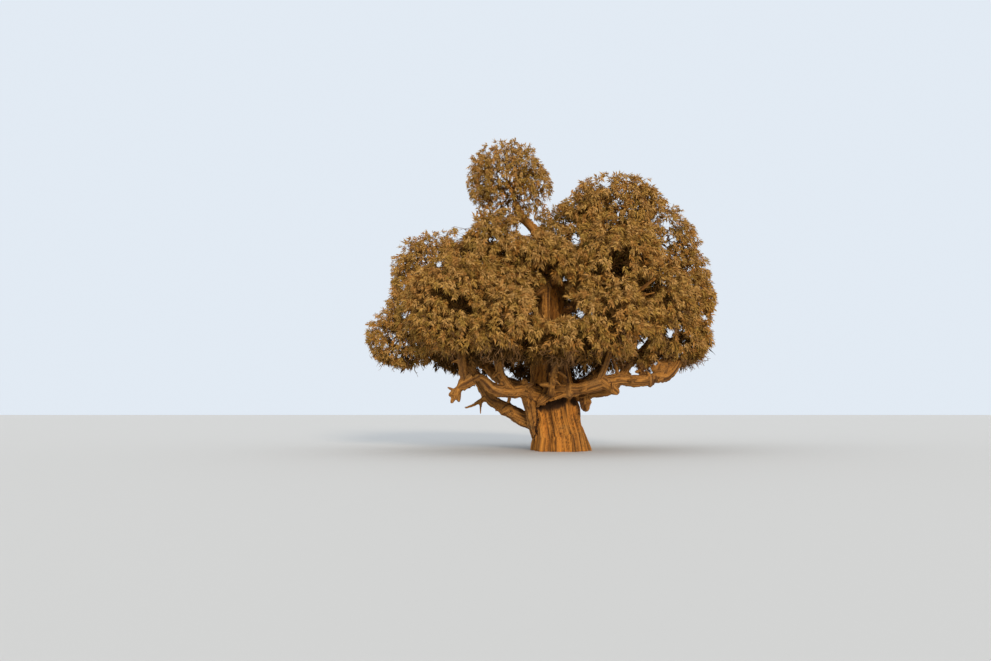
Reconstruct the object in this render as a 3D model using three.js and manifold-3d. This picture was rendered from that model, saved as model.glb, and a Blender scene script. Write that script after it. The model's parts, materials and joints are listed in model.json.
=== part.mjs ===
// A Saharan cypress, an ancient desert conifer: a stout fluted bole, gnarled boughs that leave
// it just above a person's head, a trunk that runs on up inside the crown to its fork, and a
// broad domed crown in many masses of weeping sprays. Millimetres, +Z up, with the origin at
// the centre of the flat cut under the trunk. -Y is the side that the tree is seen from.
import * as THREE from "three";
import { mergeVertices } from "three/addons/utils/BufferGeometryUtils.js";
import Module from "manifold-3d";

const wasm = await Module();
wasm.setup();

// Clearances and fineness
const SEAT_GAP = 0.35; // between a limb and what it grows from
const MASS_GAP = 60; // between neighbouring masses of foliage
const LIMB_ROOM = 45; // between foliage and a limb that passes it
const LIMB_SIDES = 6;
const LIMB_STEPS = 5;
const TRUNK_SIDES = 30;
const TRUNK_STEPS = 12;
const WELD = 0.001; // corners this near are one
const CUT_FINENESS = 0.1; // how far a cut limb may be smoothed
const FOLIAGE_FINENESS = 20; // how far a mass's own surface may be smoothed

// The trunk, with the bole at its foot
const TRUNK = {
  height: 8700,
  baseRadius: 1120,
  forkRadius: 430,
  flare: 190, // extra radius of the root flare at the ground
  flareHeight: 420,
  shoulder: 190, // swelling where the great boughs leave
  shoulderHeight: 2250,
  shoulderSpan: 800,
  lean: [0, -400, -330, -620], // sideways place at equal steps of height
  ribs: [
    { count: 11, depth: 0.05, turn: 0.4 },
    { count: 6, depth: 0.04, turn: 1.9 },
  ],
  ribFade: 1.25, // the ribs grow shallower up the trunk
};

// What every limb has in common
const LIMB = {
  depth: 0.45, // share of the trunk's radius that a limb's root is sunk to
  knob: 0.09, // unevenness, as a share of the radius
  collar: 0.45, // swelling at the root, as a share of the girth
  collarSpan: 0.09, // share of the limb's length that the swelling takes
};

// How the foliage is made up. Shares are of a mass's reach unless they say otherwise.
const PHASE_STEP = 1.7; // sets each mass's pattern off from the one before
const PLAIN_GIRTH = 1500; // the size of mass that the lengths here are for
const SMALLEST_SCALE = 0.45; // of a spray, on the smallest mass
const DETAIL_GIRTHS = [900, 1700]; // a core has more faces above each of these
const CORE_SHARE = 0.75;
const AIRY_CORE_SHARE = 0.6;
const LUMP_DEPTH = 0.14; // share of the core's own reach
const LUMP_WAVES = [3.1, 2.7, 3.7];
const TUFTS = 0.4; // share of a core's corners that are tufts
const TUFT_SHARE = 0.93;
const TUFT_DROOP = 0.2;
const TUFT_SPREAD = 0.5; // how much shorter the shortest tufts are
const SCATTER_WAVES = [12.7, 31.1, 7.4];
const SCATTER_SCALE = 437.5;
const STEM_RADIUS = 95;
const STEM_SIDES = 5;
const STEM_SEAT = 0.02; // share of a stem that runs on into its bough, before it is cut clear
const TWIG_RADIUS = 36;
const TWIG_SIDES = 3;
const TWIG_SHARE = 0.92;
const TWIG_EVERY = 2; // one spray in so many stands on a twig
const SPRAY_SPACING = 2550; // between neighbouring sprays, over the outside of a mass
const AIRY_SPACING = 1850;
const SPRAY_BAND = [0.75, -0.95]; // height of the highest and lowest sprays on a round mass
const SPRAY_ROOT = 0.84; // of a spray that stands on a twig
const SPRAY_SINK = 0.8; // share of the core's own reach, for the root of any other
const SPRAY_TIP = 0.99;
const SPRAY_WIDTH = 0.72; // share of its length
const SPRAY_WAIST = 0.58; // share of its length, where a spray is widest
const SPRAY_THICKNESS = 90;
const DROOP = { least: 0.28, most: 0.48 }; // how far a spray on a flank turns to hang
const SIDESTEP = 0.25;
const CROWDED = 0.93; // a core that fills this share of its space has no room for sprays
const TUFT_CROWDED = 0.9;
const GOLDEN_TURN = Math.PI * (3 - Math.sqrt(5));
const DOWN = new THREE.Vector3(0, 0, -1);
const ALONG = new THREE.Vector3(0, 1, 0); // the way that a plain cylinder runs

// The masses of foliage: where each one's heart is, and how far it reaches along X, Y and Z.
// An airy one has a small core that more sprays stand out of, and shows the sky at its edge.
const MASSES = {
  head: { heart: [-2360, 200, 12250], reach: [2020, 1900, 2050], airy: true },
  saddle: { heart: [300, 0, 9550], reach: [1300, 1500, 1500] },
  crown_bump: { heart: [1450, -250, 10850], reach: [1330, 1500, 1450] },
  right_peak: { heart: [3000, 300, 10450], reach: [2100, 2200, 2300] },
  right_upper: { heart: [4550, 500, 8950], reach: [2200, 2200, 2350], airy: true },
  right_side: { heart: [5150, 300, 6800], reach: [2000, 2300, 2300] },
  right_low: { heart: [5050, -550, 4900], reach: [1750, 1850, 1400] },
  right_heart: { heart: [3750, -1800, 6250], reach: [1950, 1900, 1950] },
  right_mid: { heart: [2250, -1750, 8100], reach: [2250, 2200, 2200] },
  right_front: { heart: [1750, -3300, 5350], reach: [1900, 2050, 1750] },
  low_bush: { heart: [3400, -800, 3900], reach: [720, 700, 480] },
  front_low: { heart: [-400, -3750, 4650], reach: [1600, 1700, 1000] },
  upper_mid: { heart: [-1200, -1700, 8100], reach: [2050, 1750, 1400] },
  left_heart: { heart: [-2200, -2200, 6600], reach: [1600, 1750, 1500] },
  front_left: { heart: [-2500, -3750, 5250], reach: [1900, 2100, 1600] },
  left_front: { heart: [-4450, -2550, 6100], reach: [2500, 2550, 2350] },
  upper_left: { heart: [-3200, -700, 8600], reach: [1950, 2400, 1950] },
  left_mid: { heart: [-5350, 400, 6350], reach: [2450, 2150, 2550] },
  left_shoulder: { heart: [-5850, 850, 8150], reach: [2000, 2050, 1950], airy: true },
  far_left: { heart: [-6900, -150, 5000], reach: [1930, 2000, 1570], airy: true },
  back_left: { heart: [-4000, 3300, 6050], reach: [2800, 2700, 2850] },
  back_left_top: { heart: [-3400, 2150, 8200], reach: [2200, 2200, 1800] },
  back_mid: { heart: [0, 3700, 5600], reach: [3300, 2600, 3000] },
  back_top: { heart: [-650, 2400, 8150], reach: [2000, 2200, 1700] },
  back_right: { heart: [3050, 3450, 6050], reach: [2950, 2700, 2750] },
  back_right_top: { heart: [2750, 2450, 8750], reach: [2300, 2100, 2000] },
};

// The boughs. springs is the height on the trunk and bearing the side it leaves, from +X
// towards +Y; depth is how far out in the trunk it starts. from and at place a limb's root on
// another limb. into names the mass that it carries, and enters the side that its tip comes in
// by; ends is the end of a limb that carries none. rises lift the limb off its straight line at
// equal steps, and sways shift it to the right of its way.
const BOUGHS = {
  low_right_bough: {
    springs: 2330, bearing: 228, depth: 0.6, into: "right_low", enters: [-0.3, -0.45, -1],
    girth: 270, tip: 200, steps: 10,
    rises: [60, -170, -160, -240, -520, -610], sways: [890, 1120, 1230, 1100, 830, 590],
  },
  low_left_bough: {
    springs: 2350, bearing: 225, depth: 0.6, ends: [-4780, -2300, 2380],
    girth: 380, tip: 75, steps: 10,
    rises: [120, 230, 190, 270, 720, 490], sways: [-210, -430, -430, -370, -300, -150],
  },
  lower_left_bough: {
    springs: 1050, bearing: 184, into: "far_left", enters: [0.95, 0.05, -0.25],
    girth: 330, tip: 110, steps: 10,
    rises: [-270, -390, -440, 220, 390, 240], sways: [100, 240, 390, 480, 390, 220],
  },
  front_bough: {
    springs: 2750, bearing: 268, into: "front_low", enters: [0.1, 0.7, -0.7],
    girth: 150, tip: 90, rises: [-580, -890, -560], sways: [80, 180, 160],
  },
  under_right_bough: {
    springs: 2250, bearing: 338, into: "right_side", enters: [-0.35, 0.4, -0.9],
    girth: 200, tip: 120, steps: 8, rises: [-400, -870, -440, -270], sways: [800, 890, 660, 320],
  },
  back_right_bough: {
    springs: 2550, bearing: 40, into: "back_right", enters: [-0.3, -0.2, -1],
    girth: 320, tip: 140, rises: [-220, -380], sways: [160, -80],
  },
  back_bough: {
    springs: 2850, bearing: 96, into: "back_mid", enters: [0, -0.4, -1],
    girth: 300, tip: 130, rises: [-120, -300], sways: [-160, 110],
  },
  back_left_bough: {
    springs: 2350, bearing: 146, into: "back_left", enters: [0.2, -0.3, -1],
    girth: 330, tip: 140, rises: [-160, -330], sways: [140, -120],
  },
  left_mid_bough: {
    springs: 4300, bearing: 176, into: "left_mid", enters: [0.9, 0, -0.35],
    girth: 230, tip: 120, rises: [-130, 130], sways: [120, -90],
  },
  shoulder_bough: {
    springs: 5500, bearing: 164, into: "left_shoulder", enters: [0.9, -0.1, -0.45],
    girth: 210, tip: 110, rises: [-130, -190], sways: [-260, -180],
  },
  slant_bough: {
    springs: 7900, bearing: 285, into: "left_heart", enters: [0.9, 0.3, 0.1],
    girth: 180, tip: 120, rises: [40, -120], sways: [-510, -120],
  },
  upper_left_bough: {
    springs: 7100, bearing: 190, into: "upper_left", enters: [0.9, 0.2, -0.5],
    girth: 190, tip: 110, rises: [-90, -60], sways: [80, 0],
  },
  upper_mid_bough: {
    springs: 7450, bearing: 258, into: "upper_mid", enters: [0.4, 0.9, -0.25],
    girth: 140, tip: 100, rises: [-40], sways: [0],
  },
  back_left_top_bough: {
    springs: 6500, bearing: 140, into: "back_left_top", enters: [0.6, -0.4, -0.6],
    girth: 180, tip: 110, rises: [-120, -90], sways: [60, 0],
  },
  right_heart_bough: {
    springs: 4100, bearing: 330, into: "right_heart", enters: [-0.8, 0.4, -0.5],
    girth: 210, tip: 110, rises: [-200, -160], sways: [-120, 60],
  },
  right_mid_bough: {
    springs: 5800, bearing: 318, into: "right_mid", enters: [-0.6, 0.55, -0.6],
    girth: 180, tip: 110, rises: [-60, 40], sways: [60, 0],
  },
  right_upper_bough: {
    springs: 7000, bearing: 8, into: "right_upper", enters: [-0.9, 0, -0.4],
    girth: 210, tip: 110, rises: [-220, -150], sways: [-60, -90],
  },
  back_right_top_bough: {
    springs: 7400, bearing: 46, into: "back_right_top", enters: [-0.7, -0.5, -0.5],
    girth: 160, tip: 100, rises: [-110, -60], sways: [0, 60],
  },
  head_leader: {
    springs: 8500, bearing: 190, depth: 0.3, into: "head", enters: [0.37, 0, -1],
    girth: 250, tip: 140, steps: 8, rises: [560, 300, -60], sways: [-30, -80, -70],
  },
  right_leader: {
    springs: 8480, bearing: 0, into: "right_peak", enters: [-0.7, 0, -0.7],
    girth: 240, tip: 120, rises: [-130, -110], sways: [-120, -60],
  },
  back_top_bough: {
    springs: 7700, bearing: 84, into: "back_top", enters: [-0.1, -0.9, -0.3],
    girth: 170, tip: 110, rises: [-40], sways: [0],
  },
  saddle_limb: {
    from: "right_leader", at: 0.16, into: "saddle", enters: [-0.1, 0, -1],
    girth: 130, tip: 90, steps: 4, rises: [20], sways: [0],
  },
  bump_limb: {
    from: "right_leader", at: 0.62, into: "crown_bump", enters: [0.1, 0, -1],
    girth: 120, tip: 80, steps: 4, rises: [40], sways: [0],
  },
  left_riser: {
    from: "low_left_bough", at: 0.36, into: "front_left", enters: [-0.35, 0.7, -0.65],
    girth: 190, tip: 90, rises: [40, 60], sways: [240, 150],
  },
  left_end_riser: {
    from: "low_left_bough", at: 0.83, into: "left_front", enters: [0.05, 0.15, -1],
    girth: 170, tip: 120, rises: [40, 30], sways: [60, 0],
  },
  right_riser: {
    from: "low_right_bough", at: 0.42, into: "right_front", enters: [0.1, 0.55, -0.8],
    girth: 140, tip: 90, rises: [60, 0], sways: [-80, -60],
  },
  bush_limb: {
    from: "low_right_bough", at: 0.73, into: "low_bush", enters: [0, -0.2, -1],
    girth: 150, tip: 100, steps: 3, rises: [0], sways: [0],
  },
  // A thin dead branch, and two burls that hang below the boughs
  dead_spur: {
    from: "lower_left_bough", at: 0.4, ends: [-4250, 250, 1870],
    girth: 100, tip: 28, steps: 5, rises: [60, -20], sways: [50, -30],
  },
  trunk_burl: {
    from: "under_right_bough", at: 0.16, ends: [1000, -820, 1820],
    girth: 210, tip: 190, steps: 3, rises: [0], sways: [0],
  },
  bough_burl: {
    from: "low_right_bough", at: 0.46, ends: [2180, -1960, 2520],
    girth: 200, tip: 170, steps: 3, rises: [0], sways: [0],
  },
};

const BARK = new THREE.MeshStandardMaterial({ color: 0xa8743f, roughness: 0.95, metalness: 0 });
const FOLIAGE = new THREE.MeshStandardMaterial({ color: 0x7d6530, roughness: 0.9, metalness: 0 });

// Seeded numbers from 0 to 1, by a linear congruence
const RANDOM = { factor: 1664525, step: 1013904223, range: 2 ** 32, limbSeed: 11, massSeed: 101 };

function seeded(seed) {
  let state = seed >>> 0;
  return () => {
    state = (Math.imul(state, RANDOM.factor) + RANDOM.step) >>> 0;
    return state / RANDOM.range;
  };
}

const vector = (xyz) => new THREE.Vector3(...xyz);
const mix = (from, to, share) => from + (to - from) * share;

// A closed geometry as a solid that can be cut and joined
function solidFrom(geometry) {
  const bare = geometry.clone();
  bare.deleteAttribute("normal");
  bare.deleteAttribute("uv");
  const merged = mergeVertices(bare, WELD);
  const vertProperties = new Float32Array(merged.attributes.position.array);
  const triVerts = new Uint32Array(merged.index.array);
  return new wasm.Manifold(new wasm.Mesh({ numProp: 3, vertProperties, triVerts }));
}

// The largest body of a solid as a named mesh; a loose scrap is dropped
function meshFrom(solid, name, material) {
  const bodies = solid.simplify(CUT_FINENESS).decompose();
  bodies.sort((a, b) => b.volume() - a.volume());
  const made = bodies[0].getMesh();
  const geometry = new THREE.BufferGeometry();
  geometry.setAttribute("position", new THREE.BufferAttribute(made.vertProperties, 3));
  geometry.setIndex(new THREE.BufferAttribute(made.triVerts, 1));
  geometry.computeVertexNormals();
  const mesh = new THREE.Mesh(geometry, material);
  mesh.name = name;
  return mesh;
}

// Moves every corner of a geometry to where place puts it
function reshape(geometry, place) {
  const position = geometry.attributes.position;
  const corner = new THREE.Vector3();
  for (let i = 0; i < position.count; i += 1) {
    corner.fromBufferAttribute(position, i);
    const moved = place(corner);
    position.setXYZ(i, moved.x, moved.y, moved.z);
  }
  return geometry;
}

const trunkLine = new THREE.CatmullRomCurve3(
  TRUNK.lean.map((x, i) => new THREE.Vector3(x, 0, (TRUNK.height * i) / (TRUNK.lean.length - 1))),
);

// The trunk's radius at a height, on the side at an angle
function trunkRadius(height, angle) {
  const share = height / TRUNK.height;
  const plain = mix(TRUNK.baseRadius, TRUNK.forkRadius, share);
  const flare = TRUNK.flare * Math.exp(-height / TRUNK.flareHeight);
  const offset = (height - TRUNK.shoulderHeight) / TRUNK.shoulderSpan;
  const shoulder = TRUNK.shoulder * Math.exp(-offset * offset);
  const fluting = TRUNK.ribs.reduce(
    (sum, rib) => sum + rib.depth * Math.cos(rib.count * angle + rib.turn), 0,
  );
  return (plain + flare + shoulder) * (1 + fluting * (TRUNK.ribFade - share));
}

// How far an end ring moves along its limb when the limb is grown: the last one on, the first back
function endGrowth(ring, lastRing, grow) {
  if (ring === lastRing) return grow;
  return ring === 0 ? -grow : 0;
}

// The trunk, from the flat cut at the ground to its fork, or the same grown outwards
function trunkSolid(grow = 0) {
  const drum = new THREE.CylinderGeometry(1, 1, 1, TRUNK_SIDES, TRUNK_STEPS);
  reshape(drum, (v) => {
    const ring = Math.round((v.y + 0.5) * TRUNK_STEPS);
    const share = ring / TRUNK_STEPS;
    const angle = Math.atan2(-v.z, v.x);
    const radius = Math.hypot(v.x, v.z) * (trunkRadius(share * TRUNK.height, angle) + grow);
    const out = new THREE.Vector3(Math.cos(angle), Math.sin(angle), 0).multiplyScalar(radius);
    out.z = endGrowth(ring, TRUNK_STEPS, grow);
    return out.add(trunkLine.getPoint(share));
  });
  return solidFrom(drum);
}

// A limb's centre line, from its root to its end, bent off the straight by rises and sways
function limbLine(root, end, rises, sways) {
  const across = new THREE.Vector3(end.y - root.y, root.x - end.x, 0).normalize();
  const bends = rises.map((rise, i) => {
    const point = root.clone().lerp(end, (i + 1) / (rises.length + 1));
    point.z += rise;
    return point.addScaledVector(across, sways[i]);
  });
  return new THREE.CatmullRomCurve3([root, ...bends, end], false, "centripetal");
}

// A tapering limb: a cylinder bent along a line, swollen at the root and knobbly
function limbSolid(limb, grow = 0) {
  const { line, girth, tip, sides = LIMB_SIDES, steps = LIMB_STEPS, seed } = limb;
  const frames = line.computeFrenetFrames(steps, false);
  const points = line.getSpacedPoints(steps);
  const random = seeded(seed);
  const knobs = points.map(() => 1 + LIMB.knob * (2 * random() - 1));
  const bar = new THREE.CylinderGeometry(1, 1, 1, sides, steps);
  reshape(bar, (v) => {
    const ring = Math.round((v.y + 0.5) * steps);
    const share = ring / steps;
    const collar = LIMB.collar * girth * Math.exp(-share / LIMB.collarSpan);
    const radius = (mix(girth, tip, share) + collar) * knobs[ring] + grow;
    return points[ring].clone()
      .addScaledVector(frames.normals[ring], v.x * radius)
      .addScaledVector(frames.binormals[ring], -v.z * radius)
      .addScaledVector(frames.tangents[ring], endGrowth(ring, steps, grow));
  });
  return solidFrom(bar);
}

// A straight rod of few sides, for a stem or a twig
function rodSolid(from, to, radius, sides) {
  const way = to.clone().sub(from);
  const rod = new THREE.CylinderGeometry(radius, radius, way.length(), sides, 1);
  rod.translate(0, way.length() / 2, 0);
  rod.applyQuaternion(new THREE.Quaternion().setFromUnitVectors(ALONG, way.normalize()));
  return solidFrom(rod.translate(from.x, from.y, from.z));
}

// How far a mass's outline lies from its heart along a direction
function outlineReach(mass, { x, y, z }) {
  const [a, b, c] = mass.reach;
  return 1 / Math.hypot(x / a, y / b, z / c);
}

// Each mass, with the walls that keep it to its own space, halfway through any overlap
const masses = Object.entries(MASSES).map(([name, { heart, reach, airy = false }], index) => {
  const girth = (reach[0] + reach[1] + reach[2]) / 3;
  const scale = mix(SMALLEST_SCALE, 1, girth / PLAIN_GIRTH);
  const phase = PHASE_STEP * index;
  return { name, index, phase, reach, airy, girth, scale, heart: vector(heart), walls: [] };
});
const massNamed = Object.fromEntries(masses.map((mass) => [mass.name, mass]));
for (const mass of masses) {
  for (const other of masses.filter((m) => m !== mass)) {
    const way = other.heart.clone().sub(mass.heart);
    const apart = way.length();
    way.normalize();
    const near = outlineReach(mass, way);
    const far = outlineReach(other, way);
    const distance = (apart ** 2 + near ** 2 - far ** 2) / (2 * apart) - MASS_GAP / 2;
    mass.walls.push({ way, distance });
  }
}

// How far a mass may reach along a direction: to its outline or to a neighbour's space
function freeReach(mass, direction) {
  return mass.walls.reduce((nearest, { way, distance }) => {
    const facing = direction.dot(way);
    return facing > 0 ? Math.min(nearest, distance / facing) : nearest;
  }, outlineReach(mass, direction));
}

// Soft lumps over a mass's core, as a share of its reach
function lump({ x, y, z }, phase) {
  const [a, b, c] = LUMP_WAVES;
  const wave = Math.sin(a * x + phase) * Math.sin(b * y + 2 * phase) * Math.cos(c * z - phase);
  return 1 - (LUMP_DEPTH * (1 + wave)) / 2;
}

// A number from 0 to 1 that is always the same for a direction and a mass
function scatter({ x, y, z }, phase) {
  const [a, b, c] = SCATTER_WAVES;
  return Math.abs(Math.sin(a * x + b * y + c * z + phase) * SCATTER_SCALE) % 1;
}

function coreReach(mass, direction) {
  const share = (mass.airy ? AIRY_CORE_SHARE : CORE_SHARE) * lump(direction, mass.phase);
  return Math.min(share * outlineReach(mass, direction), freeReach(mass, direction));
}

function pointAt(mass, direction, distance) {
  return mass.heart.clone().addScaledVector(direction, distance);
}

function keepsToItsSpace(mass, point) {
  const from = point.clone().sub(mass.heart);
  return from.length() < freeReach(mass, from.clone().normalize());
}

// Directions spread evenly round a mass by the golden turn, with a spacing over its outside
function directionsRound(mass, spacing) {
  const [highest, lowest] = SPRAY_BAND;
  const count = Math.round(4 * Math.PI * (mass.girth / (spacing * mass.scale)) ** 2);
  return Array.from({ length: count }, (_, k) => {
    const height = mix(highest, lowest, (k + 0.5) / count);
    const ring = Math.sqrt(1 - height * height);
    const turn = k * GOLDEN_TURN + mass.phase;
    return new THREE.Vector3(ring * Math.cos(turn), ring * Math.sin(turn), height);
  });
}

// A direction turned towards the ground and a little to a side, most on a mass's flanks
function drooped(direction, random) {
  const side = new THREE.Vector3(-direction.y, direction.x, 0);
  const droop = side.length() * mix(DROOP.least, DROOP.most, random());
  const sidestep = mix(-SIDESTEP, SIDESTEP, random());
  return direction.clone().lerp(DOWN, droop).addScaledVector(side, sidestep).normalize();
}

// A spray: a flat kite of eight faces between two points, turned about its length
function sprayBetween(root, tip, roll) {
  const way = tip.clone().sub(root);
  const length = way.length();
  way.normalize();
  const across = new THREE.Vector3().crossVectors(way, DOWN).normalize().applyAxisAngle(way, roll);
  const lift = new THREE.Vector3().crossVectors(way, across);
  const kite = new THREE.OctahedronGeometry(1, 0);
  const corners = [];
  reshape(kite, (v) => {
    const along = v.x === 0 ? SPRAY_WAIST : (1 + v.x) / 2;
    const corner = root.clone()
      .addScaledVector(way, along * length)
      .addScaledVector(across, (v.y * SPRAY_WIDTH * length) / 2)
      .addScaledVector(lift, (v.z * SPRAY_THICKNESS) / 2);
    corners.push(corner);
    return corner;
  });
  return { solid: solidFrom(kite), corners };
}

// The twigs that run out from the end of a mass's stem, and the sprays: some stand on the
// twigs and the rest in the core, and each hangs to the mass's outline
function growth(mass, random) {
  const twigs = [];
  const sprays = [];
  directionsRound(mass, mass.airy ? AIRY_SPACING : SPRAY_SPACING).forEach((direction, k) => {
    const free = freeReach(mass, direction);
    const core = coreReach(mass, direction);
    if (core > CROWDED * free) return;
    const onTwig = k % TWIG_EVERY === 0;
    const root = pointAt(mass, direction, onTwig ? SPRAY_ROOT * free : SPRAY_SINK * core);
    const end = pointAt(mass, direction, TWIG_SHARE * free);
    if (onTwig) twigs.push(rodSolid(mass.heart, end, TWIG_RADIUS, TWIG_SIDES));
    const way = drooped(direction, random);
    const tip = pointAt(mass, way, SPRAY_TIP * freeReach(mass, way));
    sprays.push(sprayBetween(root, tip, Math.PI * (random() - 0.5)));
  });
  return { twigs, sprays };
}

// The core of a mass: flat where a neighbour stands against it, and elsewhere full of tufts
// that stand out towards the mass's outline and hang a little
function coreSolid(mass) {
  const detail = 1 + DETAIL_GIRTHS.filter((girth) => mass.girth > girth).length;
  const core = new THREE.IcosahedronGeometry(1, detail);
  reshape(core, (v) => {
    const direction = v.clone().normalize();
    const inner = coreReach(mass, direction);
    const rank = scatter(direction, mass.phase) / TUFTS;
    const hung = direction.clone().lerp(DOWN, TUFT_DROOP * Math.hypot(direction.x, direction.y));
    const outer = TUFT_SHARE * freeReach(mass, hung.normalize());
    if (rank > 1 || inner > TUFT_CROWDED * outer) return pointAt(mass, direction, inner);
    return pointAt(mass, hung, mix(outer, inner, TUFT_SPREAD * rank));
  });
  return room.reduce(
    (body, way) => (body.intersect(way).isEmpty() ? body : body.subtract(way)), solidFrom(core),
  );
}

// One mass of foliage: its core, its twigs and sprays, and its stem from the bough's tip
function massMesh(mass) {
  const { twigs, sprays } = growth(mass, seeded(RANDOM.massSeed + mass.index));
  const isClear = (solid) => solid.intersect(passing).isEmpty();
  const fitting = sprays.filter(({ solid, corners }) =>
    corners.every((corner) => keepsToItsSpace(mass, corner)) && isClear(solid),
  );
  const grown = wasm.Manifold.union([
    coreSolid(mass), ...twigs.filter(isClear), ...fitting.map(({ solid }) => solid),
  ]).simplify(FOLIAGE_FINENESS);
  const stemRoot = mass.boughTip.clone().lerp(mass.heart, -STEM_SEAT);
  const stem = rodSolid(stemRoot, mass.heart, STEM_RADIUS, STEM_SIDES).subtract(standing);
  return meshFrom(grown.add(stem), `foliage_${mass.name}`, FOLIAGE);
}

// Where a limb starts: on another limb, or sunk in the trunk
function rootOf(bough) {
  if (bough.from) return lines[bough.from].getPointAt(bough.at);
  const angle = THREE.MathUtils.degToRad(bough.bearing);
  const inside = (bough.depth ?? LIMB.depth) * trunkRadius(bough.springs, angle);
  const out = new THREE.Vector3(Math.cos(angle), Math.sin(angle), 0).multiplyScalar(inside);
  return out.add(trunkLine.getPoint(bough.springs / TRUNK.height));
}

// Where a limb ends: at a bare end, or where it comes into the mass that it carries
function endOf(bough) {
  if (bough.ends) return vector(bough.ends);
  const mass = massNamed[bough.into];
  const side = vector(bough.enters).normalize();
  mass.boughTip = pointAt(mass, side, coreReach(mass, side));
  return mass.boughTip;
}

// The trunk and the limbs, each limb cut clear of all that stand before it
const lines = {};
const room = [trunkSolid(LIMB_ROOM)];
let standing = trunkSolid(SEAT_GAP);
const limbMeshes = Object.entries(BOUGHS).map(([name, bough], index) => {
  lines[name] = limbLine(rootOf(bough), endOf(bough), bough.rises, bough.sways);
  const limb = { ...bough, line: lines[name], seed: RANDOM.limbSeed + index };
  const mesh = meshFrom(limbSolid(limb).subtract(standing), name, BARK);
  standing = standing.add(limbSolid(limb, SEAT_GAP));
  room.push(limbSolid(limb, LIMB_ROOM));
  return mesh;
});
const passing = wasm.Manifold.union(room);

const tree = new THREE.Group();
tree.name = "saharan_cypress";
tree.add(meshFrom(trunkSolid(), "trunk", BARK), ...limbMeshes, ...masses.map(massMesh));

export default tree;
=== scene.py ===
"""A Saharan cypress: its bark, twigs and weeping sprays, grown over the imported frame.

Metres, +Z up, with the origin at the centre of the flat cut under the trunk. The limbs and the
masses of foliage follow the same rules as the solids, and are carried on to finer twigs.
"""

import itertools
import json
import logging
import math
from dataclasses import dataclass, field
from enum import Enum
from typing import Iterable, Iterator, Sequence

import bmesh
import bpy
import numpy as np
from mathutils import Euler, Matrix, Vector

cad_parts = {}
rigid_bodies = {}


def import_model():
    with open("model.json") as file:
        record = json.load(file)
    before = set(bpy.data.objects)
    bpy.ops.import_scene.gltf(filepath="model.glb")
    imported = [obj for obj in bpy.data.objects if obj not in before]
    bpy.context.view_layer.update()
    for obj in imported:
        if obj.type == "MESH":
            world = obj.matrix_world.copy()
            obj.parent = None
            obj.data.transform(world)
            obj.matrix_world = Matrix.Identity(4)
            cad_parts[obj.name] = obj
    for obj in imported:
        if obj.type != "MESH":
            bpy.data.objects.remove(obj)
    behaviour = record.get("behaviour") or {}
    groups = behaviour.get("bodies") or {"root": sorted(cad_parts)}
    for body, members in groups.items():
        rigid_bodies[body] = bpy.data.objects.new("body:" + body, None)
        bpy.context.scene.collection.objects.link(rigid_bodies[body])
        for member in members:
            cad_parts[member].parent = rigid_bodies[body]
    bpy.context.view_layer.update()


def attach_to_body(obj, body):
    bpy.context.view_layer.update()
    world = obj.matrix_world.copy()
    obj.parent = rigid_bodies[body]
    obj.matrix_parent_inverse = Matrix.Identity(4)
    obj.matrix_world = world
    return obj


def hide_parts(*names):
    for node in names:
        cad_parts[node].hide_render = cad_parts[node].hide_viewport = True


log = logging.getLogger("cypress")

Array = np.ndarray
Xyz = tuple[float, float, float]
Rgb = tuple[float, float, float]
Pair = tuple[float, float]
Socket = bpy.types.NodeSocket
Value = Socket | float | tuple

UP = np.array((0.0, 0.0, 1.0))
GOLDEN_TURN = math.pi * (3 - math.sqrt(5))
TINY = 1e-6
LEAST_LENGTH = 1e-9
CUT_HEIGHT = 0.001
MASS_GAP = 0.06
CORNERS_AT_ONCE = 4000
HASH_STEPS = np.array((374761393, 668265263, 1440662683))
HASH_SEED = 974634777
HASH_TURN = 1274126177

# Where the photograph was taken from: in front, at head height
VANTAGE = (-2.883, -36.0, 1.7)


class Habit(Enum):
    """How closely a mass of foliage is grown."""

    DENSE = "dense"
    AIRY = "airy"


class Shade(Enum):
    """The colour that a spray is dealt."""

    UMBER = "umber"
    GREEN = "green"
    OLIVE = "olive"
    TAN = "tan"
    GOLD = "gold"
    AMBER = "amber"
    # Painted shade: one dark colour for sprays in a mass's heart and at the underside near the trunk
    INNER = "inner"


class Timber(Enum):
    """Which of the two pieces of wood a limb is part of."""

    LOW = "low"
    HIGH = "high"


def mix(start: Array | float, end: Array | float, share: Array | float) -> Array | float:
    """Returns the value at a share of the way from start to end."""
    return start + (end - start) * share


def unit(vectors: Array) -> Array:
    """Returns vectors scaled to a length of one, along the last axis."""
    return vectors / np.maximum(np.linalg.norm(vectors, axis=-1, keepdims=True), LEAST_LENGTH)


def step_between(low: float, high: float, value: Array) -> Array:
    """Returns 0 below low, 1 above high, and a smooth step between them."""
    share = np.clip((value - low) / (high - low), 0, 1)
    return share * share * (3 - 2 * share)


def band(first: Pair, last: Pair, value: Array) -> Array:
    """Returns 1 from where the first step is up to where the last comes down, and 0 outside them."""
    return step_between(*first, value) * (1 - step_between(*last, value))


def noise(points: Array, seed: int) -> Array:
    """Smooth seeded noise in three dimensions.

    Args:
        points: Places, one a row, in cells of the noise.
        seed: Picks the pattern.

    Returns:
        A number from 0 to 1 for each place.
    """
    cell = np.floor(points).astype(np.int64)
    fade = points - cell
    fade = fade * fade * (3 - 2 * fade)
    total = np.zeros(len(points))
    for corner in itertools.product((0, 1), repeat=3):
        mixed = ((cell + corner) * HASH_STEPS).sum(axis=1) + seed * HASH_SEED
        mixed = (mixed ^ (mixed >> 13)) * HASH_TURN
        value = ((mixed ^ (mixed >> 16)) & 0xFFFF) / 0xFFFF
        weight = np.prod(np.where(corner, fade, 1 - fade), axis=1)
        total += weight * value
    return total


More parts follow.
